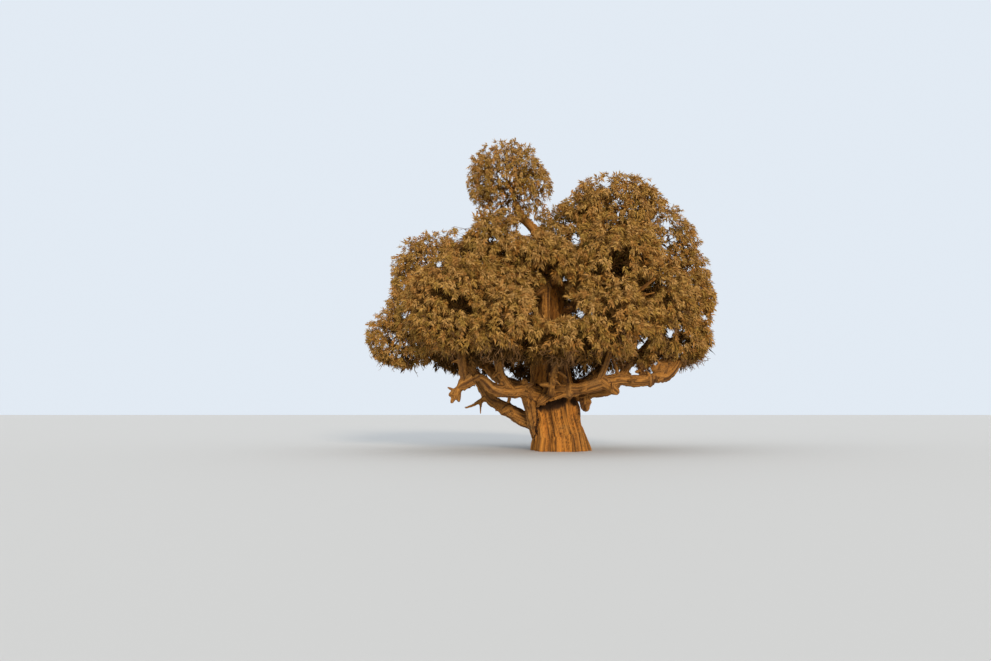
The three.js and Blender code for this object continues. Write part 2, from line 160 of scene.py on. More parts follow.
def seeded(seed: int) -> Iterator[float]:
    """Draws the source's own seeded numbers, by a linear congruence.

    Args:
        seed: Picks the row of numbers.

    Yields:
        Numbers from 0 to 1, without an end.
    """
    state = seed
    while True:
        state = (state * 1664525 + 1013904223) % 2**32
        yield state / 2**32


class Line:
    """A smooth line through a few points, measured along its length."""

    SAMPLES = 240
    STEEP = 0.9

    def __init__(self, points: Sequence[Array]) -> None:
        """Makes the line.

        Args:
            points: The points that it passes through.
        """
        self.places = self.by_turns(np.array(points), np.linspace(0, 1, self.SAMPLES))
        steps = np.linalg.norm(np.diff(self.places, axis=0), axis=1)
        self.travelled = np.concatenate(((0.0,), np.cumsum(steps)))
        self.length = float(self.travelled[-1])

    @staticmethod
    def by_turns(points: Array, turns: Array) -> Array:
        """Centripetal Catmull-Rom places, one span to each pair of points.

        Args:
            points: The points that the line passes through.
            turns: Shares of the way, each span counted as equal.

        Returns:
            A place for each share.
        """
        spans = len(points) - 1
        ends = np.vstack((2 * points[0] - points[1], points, 2 * points[-1] - points[-2]))
        span = np.minimum((turns * spans).astype(int), spans - 1)
        t = (turns * spans - span)[:, None]
        a, b, c, d = (ends[span + k] for k in range(4))
        near, gap, far = (
            np.sqrt(np.linalg.norm(q - p, axis=1))[:, None] for p, q in ((a, b), (b, c), (c, d))
        )
        leave = ((b - a) / near - (c - a) / (near + gap) + (c - b) / gap) * gap
        arrive = ((c - b) / gap - (d - b) / (gap + far) + (d - c) / far) * gap
        bend = -3 * b + 3 * c - 2 * leave - arrive
        return b + leave * t + bend * t**2 + (2 * b - 2 * c + leave + arrive) * t**3

    def at(self, shares: Array | float) -> Array:
        """Returns the places at shares of the line's length."""
        wanted = np.asarray(shares) * self.length
        return np.stack([np.interp(wanted, self.travelled, axis) for axis in self.places.T], -1)

    def frames(self, shares: Array) -> tuple[Array, Array, Array, Array]:
        """Places and axes that don't twist along the line.

        Args:
            shares: Rising shares of the line's length.

        Returns:
            The places, and for each its way along and its two ways across.
        """
        places = self.at(shares)
        along = unit(np.gradient(places, axis=0))
        first = np.cross(along[0], UP if abs(along[0] @ UP) < self.STEEP else (1.0, 0.0, 0.0))
        across = [unit(first)]
        for way in along[1:]:
            across.append(unit(across[-1] - way * (across[-1] @ way)))
        across = np.array(across)
        return places, along, across, np.cross(along, across)


@dataclass(frozen=True)
class Trunk:
    """The trunk, from the flat cut at the ground to its fork."""

    height: float = 8.7
    base_radius: float = 1.12
    fork_radius: float = 0.43
    flare: float = 0.19
    flare_height: float = 0.42
    shoulder: float = 0.19
    shoulder_height: float = 2.25
    shoulder_span: float = 0.8
    lean: tuple[float, ...] = (0.0, -0.4, -0.33, -0.62)
    ribs: tuple[tuple[int, float, float], ...] = ((11, 0.05, 0.4), (6, 0.04, 1.9))
    rib_fade: float = 1.25

    def places(self, shares: Array) -> Array:
        """Finds the middle of the trunk.

        Args:
            shares: Shares of its height.

        Returns:
            A place for each share.
        """
        rises = np.linspace(0, self.height, len(self.lean))
        points = np.array([(x, 0.0, z) for x, z in zip(self.lean, rises)])
        return Line.by_turns(points, np.asarray(shares))

    def radius(self, height: Array, angle: Array) -> Array:
        """Works out the radius, with its flare, shoulder and fluting.

        Args:
            height: Heights above the ground.
            angle: Sides, as angles round from +X.

        Returns:
            The radius at each height and side.
        """
        share = height / self.height
        plain = mix(self.base_radius, self.fork_radius, share)
        flare = self.flare * np.exp(-height / self.flare_height)
        offset = (height - self.shoulder_height) / self.shoulder_span
        shoulder = self.shoulder * np.exp(-(offset**2))
        fluting = sum(depth * np.cos(count * angle + turn) for count, depth, turn in self.ribs)
        return (plain + flare + shoulder) * (1 + fluting * (self.rib_fade - share))


@dataclass
class Mass:
    """One mass of foliage: the space round its heart that its sprays reach to."""

    DENSE_CORE = 0.75
    AIRY_CORE = 0.6
    LUMPS = 0.07
    WAVES = (3.1, 2.7, 3.7)

    name: str
    heart: Xyz
    reach: Xyz
    habit: Habit = Habit.DENSE
    phase: float = 0.0
    ways: Array = field(default_factory=lambda: np.empty((0, 3)))
    walls: Array = field(default_factory=lambda: np.empty(0))
    bough_tip: Array | None = None

    @property
    def node(self) -> str:
        """The name of the solid that stands for the mass."""
        return f"foliage_{self.name}"

    @property
    def airy(self) -> bool:
        """Whether it is grown loosely, so that light shows through."""
        return self.habit is Habit.AIRY

    @property
    def girth(self) -> float:
        """The mean of the three reaches."""
        return sum(self.reach) / 3

    def outline(self, directions: Array) -> Array:
        """Returns how far the outline lies from the heart along directions."""
        return 1 / np.linalg.norm(directions / np.array(self.reach), axis=-1)

    def wall(self, directions: Array) -> Array:
        """Returns how far the neighbours' spaces lie from the heart along directions."""
        facing = directions @ self.ways.T
        return np.where(facing > TINY, self.walls / np.maximum(facing, TINY), np.inf).min(axis=-1)

    def free(self, directions: Array) -> Array:
        """Returns how far the mass may reach: to its outline or to a neighbour's space."""
        return np.minimum(self.outline(directions), self.wall(directions))

    def core(self, direction: Array) -> float:
        """Works out how far the solid's core reaches, which is where a bough ends.

        Args:
            direction: A way out from the heart.

        Returns:
            The core's reach that way.
        """
        x, y, z = direction * np.array(self.WAVES)
        wave = math.sin(x + self.phase) * math.sin(y + 2 * self.phase)
        lump = 1 - self.LUMPS * (1 + wave * math.cos(z - self.phase))
        share = (self.AIRY_CORE if self.airy else self.DENSE_CORE) * lump
        return min(share * float(self.outline(direction)), float(self.free(direction[None])[0]))


@dataclass(frozen=True)
class Limb:
    """One tapering limb: where it springs from, where it goes and how it bends on the way."""

    name: str
    girth: float
    tip: float
    rises: tuple[float, ...] = (0.0,)
    sways: tuple[float, ...] = (0.0,)
    springs: float = 0.0
    bearing: float = 0.0
    depth: float = 0.45
    parent: str = ""
    at: float = 0.0
    into: str = ""
    enters: Xyz = (0.0, 0.0, -1.0)
    ends: Xyz = (0.0, 0.0, 0.0)
    steps: int = 5
    timber: Timber = Timber.HIGH
    in_frame: bool = True


AIRY = Habit.AIRY
LOW = Timber.LOW
HIGH = Timber.HIGH

MASSES = (
    Mass("head", (-2.36, 0.2, 12.25), (2.02, 1.9, 2.05), AIRY),
    Mass("saddle", (0.3, 0.0, 9.55), (1.3, 1.5, 1.5)),
    Mass("crown_bump", (1.45, -0.25, 10.85), (1.33, 1.5, 1.45)),
    Mass("right_peak", (3.0, 0.3, 10.45), (2.1, 2.2, 2.3)),
    Mass("right_upper", (4.55, 0.5, 8.95), (2.2, 2.2, 2.35), AIRY),
    Mass("right_side", (5.15, 0.3, 6.8), (2.0, 2.3, 2.3)),
    Mass("right_low", (5.05, -0.55, 4.9), (1.75, 1.85, 1.4)),
    Mass("right_heart", (3.75, -1.8, 6.25), (1.95, 1.9, 1.95)),
    Mass("right_mid", (2.25, -1.75, 8.1), (2.25, 2.2, 2.2)),
    Mass("right_front", (1.75, -3.3, 5.35), (1.9, 2.05, 1.75)),
    Mass("low_bush", (3.4, -0.8, 3.9), (0.72, 0.7, 0.48)),
    Mass("front_low", (-0.4, -3.75, 4.65), (1.6, 1.7, 1.0)),
    Mass("upper_mid", (-1.2, -1.7, 8.1), (2.05, 1.75, 1.4)),
    Mass("left_heart", (-2.2, -2.2, 6.6), (1.6, 1.75, 1.5)),
    Mass("front_left", (-2.5, -3.75, 5.25), (1.9, 2.1, 1.6)),
    Mass("left_front", (-4.45, -2.55, 6.1), (2.5, 2.55, 2.35)),
    Mass("upper_left", (-3.2, -0.7, 8.6), (1.95, 2.4, 1.95)),
    Mass("left_mid", (-5.35, 0.4, 6.35), (2.45, 2.15, 2.55)),
    Mass("left_shoulder", (-5.85, 0.85, 8.15), (2.0, 2.05, 1.95), AIRY),
    Mass("far_left", (-6.9, -0.15, 5.0), (1.93, 2.0, 1.57), AIRY),
    Mass("back_left", (-4.0, 3.3, 6.05), (2.8, 2.7, 2.85)),
    Mass("back_left_top", (-3.4, 2.15, 8.2), (2.2, 2.2, 1.8)),
    Mass("back_mid", (0.0, 3.7, 5.6), (3.3, 2.6, 3.0)),
    Mass("back_top", (-0.65, 2.4, 8.15), (2.0, 2.2, 1.7)),
    Mass("back_right", (3.05, 3.45, 6.05), (2.95, 2.7, 2.75)),
    Mass("back_right_top", (2.75, 2.45, 8.75), (2.3, 2.1, 2.0)),
)

LIMBS = (
    Limb(
        "low_right_bough", 0.27, 0.2, springs=2.33, bearing=228, depth=0.6, steps=10, timber=LOW,
        rises=(0.06, -0.17, -0.16, -0.24, -0.52, -0.61),
        sways=(0.89, 1.12, 1.23, 1.1, 0.83, 0.59),
        into="right_low", enters=(-0.3, -0.45, -1),
    ),
    Limb(
        "low_left_bough", 0.38, 0.075, springs=2.35, bearing=225, depth=0.6, steps=10, timber=LOW,
        rises=(0.12, 0.23, 0.19, 0.27, 0.72, 0.49),
        sways=(-0.21, -0.43, -0.43, -0.37, -0.3, -0.15), ends=(-4.78, -2.3, 2.38),
    ),
    Limb(
        "lower_left_bough", 0.33, 0.11, springs=1.05, bearing=184, steps=10, timber=LOW,
        rises=(-0.27, -0.39, -0.44, 0.22, 0.39, 0.24), sways=(0.1, 0.24, 0.39, 0.48, 0.39, 0.22),
        into="far_left", enters=(0.95, 0.05, -0.25),
    ),
    Limb(
        "front_bough", 0.15, 0.09, springs=2.75, bearing=268, timber=LOW,
        rises=(-0.58, -0.89, -0.56), sways=(0.08, 0.18, 0.16),
        into="front_low", enters=(0.1, 0.7, -0.7),
    ),
    Limb(
        "under_right_bough", 0.2, 0.12, springs=2.25, bearing=338, steps=8, timber=LOW,
        rises=(-0.4, -0.87, -0.44, -0.27), sways=(0.8, 0.89, 0.66, 0.32),
        into="right_side", enters=(-0.35, 0.4, -0.9),
    ),
    Limb(
        "back_right_bough", 0.32, 0.14, springs=2.55, bearing=40, timber=LOW,
        rises=(-0.22, -0.38), sways=(0.16, -0.08), into="back_right", enters=(-0.3, -0.2, -1),
    ),
    Limb(
        "back_bough", 0.3, 0.13, springs=2.85, bearing=96, timber=LOW,
        rises=(-0.12, -0.3), sways=(-0.16, 0.11), into="back_mid", enters=(0, -0.4, -1),
    ),
    Limb(
        "back_left_bough", 0.33, 0.14, springs=2.35, bearing=146, timber=LOW,
        rises=(-0.16, -0.33), sways=(0.14, -0.12), into="back_left", enters=(0.2, -0.3, -1),
    ),
    Limb(
        "left_mid_bough", 0.23, 0.12, springs=4.3, bearing=176,
        rises=(-0.13, 0.13), sways=(0.12, -0.09), into="left_mid", enters=(0.9, 0, -0.35),
    ),
    Limb(
        "shoulder_bough", 0.21, 0.11, springs=5.5, bearing=164,
        rises=(-0.13, -0.19), sways=(-0.26, -0.18),
        into="left_shoulder", enters=(0.9, -0.1, -0.45),
    ),
    Limb(
        "slant_bough", 0.18, 0.12, springs=7.9, bearing=285,
        rises=(0.04, -0.12), sways=(-0.51, -0.12), into="left_heart", enters=(0.9, 0.3, 0.1),
    ),
    Limb(
        "upper_left_bough", 0.19, 0.11, springs=7.1, bearing=190,
        rises=(-0.09, -0.06), sways=(0.08, 0.0), into="upper_left", enters=(0.9, 0.2, -0.5),
    ),
    Limb(
        "upper_mid_bough", 0.14, 0.1, springs=7.45, bearing=258,
        rises=(-0.04,), sways=(0.0,), into="upper_mid", enters=(0.4, 0.9, -0.25),
    ),
    Limb(
        "back_left_top_bough", 0.18, 0.11, springs=6.5, bearing=140,
        rises=(-0.12, -0.09), sways=(0.06, 0.0), into="back_left_top", enters=(0.6, -0.4, -0.6),
    ),
    Limb(
        "right_heart_bough", 0.21, 0.11, springs=4.1, bearing=330,
        rises=(-0.2, -0.16), sways=(-0.12, 0.06), into="right_heart", enters=(-0.8, 0.4, -0.5),
    ),
    Limb(
        "right_mid_bough", 0.18, 0.11, springs=5.8, bearing=318,
        rises=(-0.06, 0.04), sways=(0.06, 0.0), into="right_mid", enters=(-0.6, 0.55, -0.6),
    ),
    Limb(
        "right_upper_bough", 0.21, 0.11, springs=7.0, bearing=8,
        rises=(-0.22, -0.15), sways=(-0.06, -0.09), into="right_upper", enters=(-0.9, 0, -0.4),
    ),
    Limb(
        "back_right_top_bough", 0.16, 0.1, springs=7.4, bearing=46,
        rises=(-0.11, -0.06), sways=(0.0, 0.06),
        into="back_right_top", enters=(-0.7, -0.5, -0.5),
    ),
    Limb(
        "head_leader", 0.25, 0.14, springs=8.5, bearing=190, depth=0.3, steps=8,
        rises=(0.56, 0.3, -0.06), sways=(-0.03, -0.08, -0.07), into="head", enters=(0.37, 0, -1),
    ),
    Limb(
        "right_leader", 0.24, 0.12, springs=8.48, bearing=0,
        rises=(-0.13, -0.11), sways=(-0.12, -0.06), into="right_peak", enters=(-0.7, 0, -0.7),
    ),
    Limb(
        "back_top_bough", 0.17, 0.11, springs=7.7, bearing=84,
        rises=(-0.04,), sways=(0.0,), into="back_top", enters=(-0.1, -0.9, -0.3),
    ),
    Limb(
        "saddle_limb", 0.13, 0.09, parent="right_leader", at=0.16, steps=4,
        rises=(0.02,), into="saddle", enters=(-0.1, 0, -1),
    ),
    Limb(
        "bump_limb", 0.12, 0.08, parent="right_leader", at=0.62, steps=4,
        rises=(0.04,), into="crown_bump", enters=(0.1, 0, -1),
    ),
    Limb(
        "left_riser", 0.19, 0.09, parent="low_left_bough", at=0.36, timber=LOW,
        rises=(0.04, 0.06), sways=(0.24, 0.15), into="front_left", enters=(-0.35, 0.7, -0.65),
    ),
    Limb(
        "left_end_riser", 0.17, 0.12, parent="low_left_bough", at=0.83, timber=LOW,
        rises=(0.04, 0.03), sways=(0.06, 0.0), into="left_front", enters=(0.05, 0.15, -1),
    ),
    Limb(
        "right_riser", 0.14, 0.09, parent="low_right_bough", at=0.42, timber=LOW,
        rises=(0.06, 0.0), sways=(-0.08, -0.06), into="right_front", enters=(0.1, 0.55, -0.8),
    ),
    Limb(
        "bush_limb", 0.15, 0.1, parent="low_right_bough", at=0.73, steps=3, timber=LOW,
        into="low_bush", enters=(0, -0.2, -1),
    ),
    Limb(
        "dead_spur", 0.1, 0.028, parent="lower_left_bough", at=0.4, timber=LOW,
        rises=(0.06, -0.02), sways=(0.05, -0.03), ends=(-4.25, 0.25, 1.87),
    ),
    Limb(
        "trunk_burl", 0.21, 0.19, parent="under_right_bough", at=0.16, steps=3, timber=LOW,
        ends=(1.0, -0.82, 1.82),
    ),
    Limb(
        "bough_burl", 0.2, 0.17, parent="low_right_bough", at=0.46, steps=3, timber=LOW,
        ends=(2.18, -1.96, 2.52),
    ),
)


def snag(
    name: str, girth: float, tip: float, parent: str, at: float, ends: Xyz,
    rises: tuple[float, ...] = (0.0,), sways: tuple[float, ...] = (0.0,), timber: Timber = LOW,
    steps: int = 5,
) -> Limb:
    """Makes a small limb that stands on another and has no solid of its own.

    Args:
        name: Its name.
        girth: Its radius at the root.
        tip: Its radius at the tip.
        parent: The limb that it stands on.
        at: Where on that limb, as a share.
        ends: Where it ends.
        rises: How far up it bends on the way.
        sways: How far aside it bends on the way.
        timber: The piece that it is part of.
        steps: How many spans it has between knobs.

    Returns:
        The limb.
    """
    return Limb(
        name, girth, tip, rises, sways, parent=parent, at=at, ends=ends, steps=steps,
        timber=timber, in_frame=False,
    )


# Small dead limbs, knobs, stubs and thin risers, most of them on the low boughs
SNAGS = (
    snag("stub_fork", 0.14, 0.05, "low_left_bough", 0.93, (-4.72, -2.3, 2.08), (-0.12,), (0.05,)),
    snag("spur_twig", 0.05, 0.015, "dead_spur", 0.35, (-3.55, 0.3, 1.62), (-0.05,)),
    snag("thin_left_riser", 0.085, 0.05, "low_left_bough", 0.1, (-1.36, -1.2, 3.95), (0.03,)),
    snag("left_knob", 0.2, 0.14, "low_left_bough", 0.24, (-1.64, -1.4, 3.02)),
    snag("lower_left_knob", 0.22, 0.16, "lower_left_bough", 0.27, (-2.59, 0.15, 1.66)),
    snag("thin_front_riser", 0.08, 0.045, "low_right_bough", 0.24, (0.05, -1.8, 3.85), (-0.03,)),
    snag("cross_limb", 0.06, 0.04, "front_bough", 0.78, (0.1, -1.9, 3.1), (0.04,)),
    snag("thin_right_limb", 0.04, 0.025, "low_right_bough", 0.46, (1.7, -2.1, 3.4)),
    snag("leaning_right_limb", 0.06, 0.035, "low_right_bough", 0.56, (2.0, -2.1, 4.0), (0.06,)),
    snag("left_flange", 0.24, 0.2, "low_left_bough", 0.2, (-1.1, -0.1, 0.6)),
    snag("left_end_knob", 0.24, 0.2, "low_left_bough", 0.76, (-4.3, -2.25, 2.78)),
    snag("end_curl", 0.19, 0.13, "low_right_bough", 0.82, (5.04, -1.2, 3.85), (-0.26, -0.24)),
    snag("end_knob", 0.17, 0.12, "low_right_bough", 0.76, (3.66, -1.65, 2.82)),
    snag("end_stub", 0.16, 0.08, "low_right_bough", 0.8, (4.35, -1.1, 3.95), (0.1,)),
    snag(
        "hollow_limb", 0.09, 0.05, "right_mid_bough", 0.9, (3.67, -3.1, 7.16), (-0.45, -0.6),
        (0.0, 0.1), timber=HIGH,
    ),
    snag("hollow_twig", 0.05, 0.03, "hollow_limb", 0.66, (3.64, -3.15, 6.56), (-0.05,), timber=HIGH),
    snag("collar_knob", 0.2, 0.17, "low_right_bough", 0.24, (0.22, -1.85, 2.36)),
    snag("burl_knob", 0.15, 0.12, "trunk_burl", 0.5, (1.17, -0.88, 2.12)),
    snag("window_strand", 0.2, 0.22, "slant_bough", 0.66, (-0.72, -0.95, 5.4), timber=HIGH),
    snag("window_stub", 0.15, 0.12, "right_mid_bough", 0.3, (0.27, -1.75, 6.1), (0.03,), timber=HIGH),
    snag("collar_tip", 0.27, 0.18, "low_right_bough", 0.08, (-0.97, -1.22, 2.12)),
)


@dataclass(frozen=True)
class Clearing:
    """A way into the crown, or right through it, that the sprays leave open to the light."""

    place: Xyz
    radius: float
    run: float = 12.0

    def holds(self, points: Array) -> Array:
        """Finds the points in the clearing, which runs on from the vantage.

        Args:
            points: Places, with their coordinates along the last axis.

        Returns:
            Whether each point lies in it.
        """
        way = unit(np.array(self.place) - np.array(VANTAGE))
        gaps = points - np.array(self.place)
        along = gaps @ way
        aside = np.linalg.norm(gaps - along[..., None] * way, axis=-1)
        return (aside < self.radius) & (np.abs(along) < self.run)


# Where the sky shows through the crown or cuts into its edge: across, up, and the radius
SKY_HOLES = (
    (0.75, 9.44, 0.26), (0.92, 6.1, 0.2), (0.24, 7.59, 0.14), (0.24, 7.05, 0.14),
    (2.71, 10.39, 0.14), (2.3, 9.93, 0.14), (4.93, 10.2, 0.18), (5.09, 9.51, 0.15),
    (3.74, 4.8, 0.25), (3.56, 4.48, 0.18), (4.89, 5.2, 0.23), (5.5, 5.45, 0.14),
    (6.49, 5.96, 0.15), (3.14, 3.5, 0.19), (3.41, 3.5, 0.19), (4.24, 3.65, 0.24),
    (-5.47, 8.37, 0.16), (-6.95, 6.03, 0.15), (-2.12, 10.04, 0.14), (-1.51, 9.98, 0.32),
    (-4.35, 10.06, 0.31), (-4.58, 9.6, 0.18), (-4.08, 10.39, 0.27), (0.23, 11.68, 0.31),
    (0.51, 11.96, 0.22), (2.17, 12.2, 0.17), (6.63, 9.6, 0.31), (6.37, 10.16, 0.27),
    (6.07, 10.62, 0.22), (6.66, 8.96, 0.27),
)
# Dark hollows in the crown's front and the way to the trunk: a place, the radius and the run
HOLLOWS = (
    ((2.18, -3.0, 7.85), 0.32, 0.9), ((2.21, -3.0, 7.6), 0.26, 0.9), ((3.4, -3.2, 6.78), 0.42, 1.1),
    ((1.56, -3.2, 6.86), 0.17, 0.9), ((2.29, -3.2, 6.82), 0.21, 0.9),
    ((-4.36, -4.4, 5.96), 0.14, 0.8), ((-3.96, -4.4, 5.76), 0.21, 0.8),
    ((-1.43, -3.0, 5.81), 0.21, 1.5), ((-0.6, -3.0, 6.98), 0.3, 2.3), ((-0.6, -3.0, 6.35), 0.4, 2.3),
    ((-0.5, -3.0, 5.8), 0.3, 2.3), ((0.18, -3.0, 5.94), 0.3, 2.3), ((1.58, -3.4, 3.72), 0.22, 1.0),
    ((1.65, -3.4, 3.98), 0.22, 1.0), ((-0.72, -3.1, 6.95), 0.2, 1.3), ((-1.0, -3.1, 6.66), 0.2, 1.3),
    ((-1.2, -3.2, 6.45), 0.16, 1.2), ((-0.98, -3.0, 6.15), 0.22, 2.3), ((-0.9, -3.0, 5.75), 0.22, 2.3),
)
CLEARINGS = (
    *(Clearing((across, 0, up), radius) for across, up, radius in SKY_HOLES),
    *(Clearing(place, radius, run) for place, radius, run in HOLLOWS),
)


@dataclass
class Skeleton:
    """Works out every line of the tree by the same rules as the solids."""

    trunk: Trunk = field(default_factory=Trunk)
    masses: tuple[Mass, ...] = MASSES
    limbs: tuple[Limb, ...] = LIMBS + SNAGS
    phase_step: float = 1.7
    knob: float = 0.09
    knob_seed: int = 11
    collar: float = 0.45
    collar_span: float = 0.09
    stub_seed: int = 31
    stubs_a_metre: float = 3.4
    least_bearer: float = 0.15
    stub_span: Pair = (0.16, 0.97)
    stub_girths: Pair = (0.035, 0.1)
    stub_taper: float = 0.6
    stub_lift: float = 0.3
    stub_rise: float = 0.06
    short_share: float = 0.65
    short_stubs: Pair = (0.06, 0.2)
    long_stubs: Pair = (0.2, 0.5)
    lines: dict[str, Line] = field(default_factory=dict)

    def __post_init__(self) -> None:
        """Walls the masses off from each other and lays the limbs' lines."""
        hearts = np.array([mass.heart for mass in self.masses])
        for index, mass in enumerate(self.masses):
            mass.phase = self.phase_step * index
            others = [other for other in self.masses if other is not mass]
            gaps = np.delete(hearts, index, axis=0) - hearts[index]
            apart = np.linalg.norm(gaps, axis=1)
            mass.ways = unit(gaps)
            near = mass.outline(mass.ways)
            far = np.array([float(o.outline(way)) for o, way in zip(others, mass.ways)])
            mass.walls = (apart**2 + near**2 - far**2) / (2 * apart) - MASS_GAP / 2
        for limb in self.limbs:
            self.lines[limb.name] = self.line_of(limb)
        for limb in self.stubs():
            self.limbs += (limb,)
            self.lines[limb.name] = self.line_of(limb)

    def stubs(self) -> list[Limb]:
        """Grows short broken stubs on the stouter low boughs, by a seeded rule.

        Returns:
            The stubs.
        """
        rng = np.random.default_rng(self.stub_seed)
        grown = []
        for bough in self.limbs:
            if bough.timber is not LOW or bough.girth < self.least_bearer:
                continue
            line = self.lines[bough.name]
            for number in range(int(line.length * self.stubs_a_metre)):
                share = rng.uniform(*self.stub_span)
                root = line.at(share)
                way = unit(rng.normal(size=3) + self.stub_lift * UP)
                reach = float(self.radius_of(bough, np.array([share]))[0])
                lengths = self.short_stubs if rng.random() < self.short_share else self.long_stubs
                reach += rng.uniform(*lengths)
                girth = rng.uniform(*self.stub_girths)
                rise = rng.uniform(-self.stub_rise, self.stub_rise)
                grown.append(snag(
                    f"{bough.name}_stub_{number}", girth, self.stub_taper * girth, bough.name,
                    share, tuple(root + way * reach), (rise,), steps=3,
                ))
        return grown

    def line_of(self, limb: Limb) -> Line:
        """Lays a limb's line from its root to its end.

        Args:
            limb: The limb.

        Returns:
            The line down its middle.
        """
        if limb.parent:
            root = self.lines[limb.parent].at(limb.at)
        else:
            angle = math.radians(limb.bearing)
            inside = limb.depth * float(self.trunk.radius(limb.springs, angle))
            root = self.trunk.places([limb.springs / self.trunk.height])[0]
            root = root + inside * np.array((math.cos(angle), math.sin(angle), 0))
        if limb.into:
            mass = next(m for m in self.masses if m.name == limb.into)
            side = unit(np.array(limb.enters, float))
            end = np.array(mass.heart) + side * mass.core(side)
            mass.bough_tip = end
        else:
            end = np.array(limb.ends)
        across = unit(np.array((end[1] - root[1], root[0] - end[0], 0)))
        shares = (np.arange(len(limb.rises)) + 1) / (len(limb.rises) + 1)
        turns = itertools.zip_longest(shares, limb.rises, limb.sways, fillvalue=0.0)
        bends = [mix(root, end, share) + UP * rise + across * sway for share, rise, sway in turns]
        return Line([root, *bends, end])

    def radius_of(self, limb: Limb, shares: Array) -> Array:
        """Works out a limb's radius, with its collar and knobs.

        Args:
            limb: The limb.
            shares: Shares of its length.

        Returns:
            The radius at each share.
        """
        draw = seeded(self.knob_seed + self.limbs.index(limb))
        knobs = [1 + self.knob * (2 * next(draw) - 1) for _ in range(limb.steps + 1)]
        swelling = self.collar * limb.girth * np.exp(-shares / self.collar_span)
        plain = mix(limb.girth, limb.tip, shares) + swelling
        return plain * np.interp(shares * limb.steps, np.arange(limb.steps + 1), knobs)


@dataclass
class Soup:
    """Corners and faces that are gathered up before they are made a mesh."""

    corners: list[Array] = field(default_factory=list)
    faces: list[tuple[int, ...]] = field(default_factory=list)
    count: int = 0

    def rings(self, rings: Array) -> None:
        """Adds a closed tube.

        Args:
            rings: Its rings of corners, from end to end, each turning the same way.
        """
        rows, sides, _ = rings.shape
        start = self.count
        self.corners.append(rings.reshape(-1, 3))
        self.corners.append(rings[[0, -1]].mean(axis=1))
        self.count += rows * sides + 2
        here = np.arange(sides)
        there = (here + 1) % sides
        for row in range(rows - 1):
            low = start + row * sides
            self.faces += zip(low + here, low + there, low + sides + there, low + sides + here)
        last = start + (rows - 1) * sides
        self.faces += zip(start + there, start + here, [self.count - 2] * sides)
        self.faces += zip(last + here, last + there, [self.count - 1] * sides)

    def mesh(self, name: str) -> bpy.types.Mesh:
        """Makes one mesh of all that was gathered.

        Args:
            name: The mesh's name.

        Returns:
            The mesh.
        """
        mesh = bpy.data.meshes.new(name)
        faces = [tuple(int(i) for i in face) for face in self.faces]
        mesh.from_pydata(np.concatenate(self.corners).tolist(), [], faces)
        mesh.update()
        return mesh


def placed(name: str, data: bpy.types.ID) -> bpy.types.Object:
    """Makes an object and links it to the scene.

    Args:
        name: Its name.
        data: What it holds, such as a mesh or a light.

    Returns:
        The object.
    """
    piece = bpy.data.objects.new(name, data)
    bpy.context.collection.objects.link(piece)
    return piece


def plain_copy(maker: bpy.types.Object, name: str) -> bpy.types.Object:
    """Turns an object with live modifiers into a new one with a plain mesh.

    Args:
        maker: The object, which is removed.
        name: The new piece's name.

    Returns:
        The new object, linked to the scene.
    """
    depsgraph = bpy.context.evaluated_depsgraph_get()
    mesh = bpy.data.meshes.new_from_object(maker.evaluated_get(depsgraph))
    bpy.data.objects.remove(maker)
    mesh.name = name
    return placed(name, mesh)


def corners_of(mesh: bpy.types.Mesh) -> Array:
    """Reads a mesh's corners.

    Args:
        mesh: The mesh.

    Returns:
        The corners, one a row.
    """
    flat = np.empty(len(mesh.vertices) * 3, np.float32)
    mesh.vertices.foreach_get("co", flat)
    return flat.reshape(-1, 3).astype(float)


def attach(mesh: bpy.types.Mesh, label: str, kind: str, values: Array) -> None:
    """Gives a mesh's corners an attribute.

    Args:
        mesh: The mesh.
        label: The attribute's name.
        kind: FLOAT, INT or FLOAT_VECTOR.
        values: One number, or three, for each corner.
    """
    layer = mesh.attributes.new(label, kind, "POINT")
    values = values.astype(np.int32 if kind == "INT" else np.float32)
    layer.data.foreach_set("vector" if kind == "FLOAT_VECTOR" else "value", values.ravel())


def hand_in(piece: bpy.types.Object, slot: str, nodes: Iterable[str]) -> None:
    """Sets a finished piece on the frame.

    Args:
        piece: The piece.
        slot: The name of the record's material slot for the piece, which is only logged.
        nodes: The solids that it stands for.
    """
    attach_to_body(piece, "root")
    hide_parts(*nodes)
    faces = sum(len(polygon.vertices) - 2 for polygon in piece.data.polygons)
    log.info("%s: %d triangles for %s", piece.name, faces, slot)


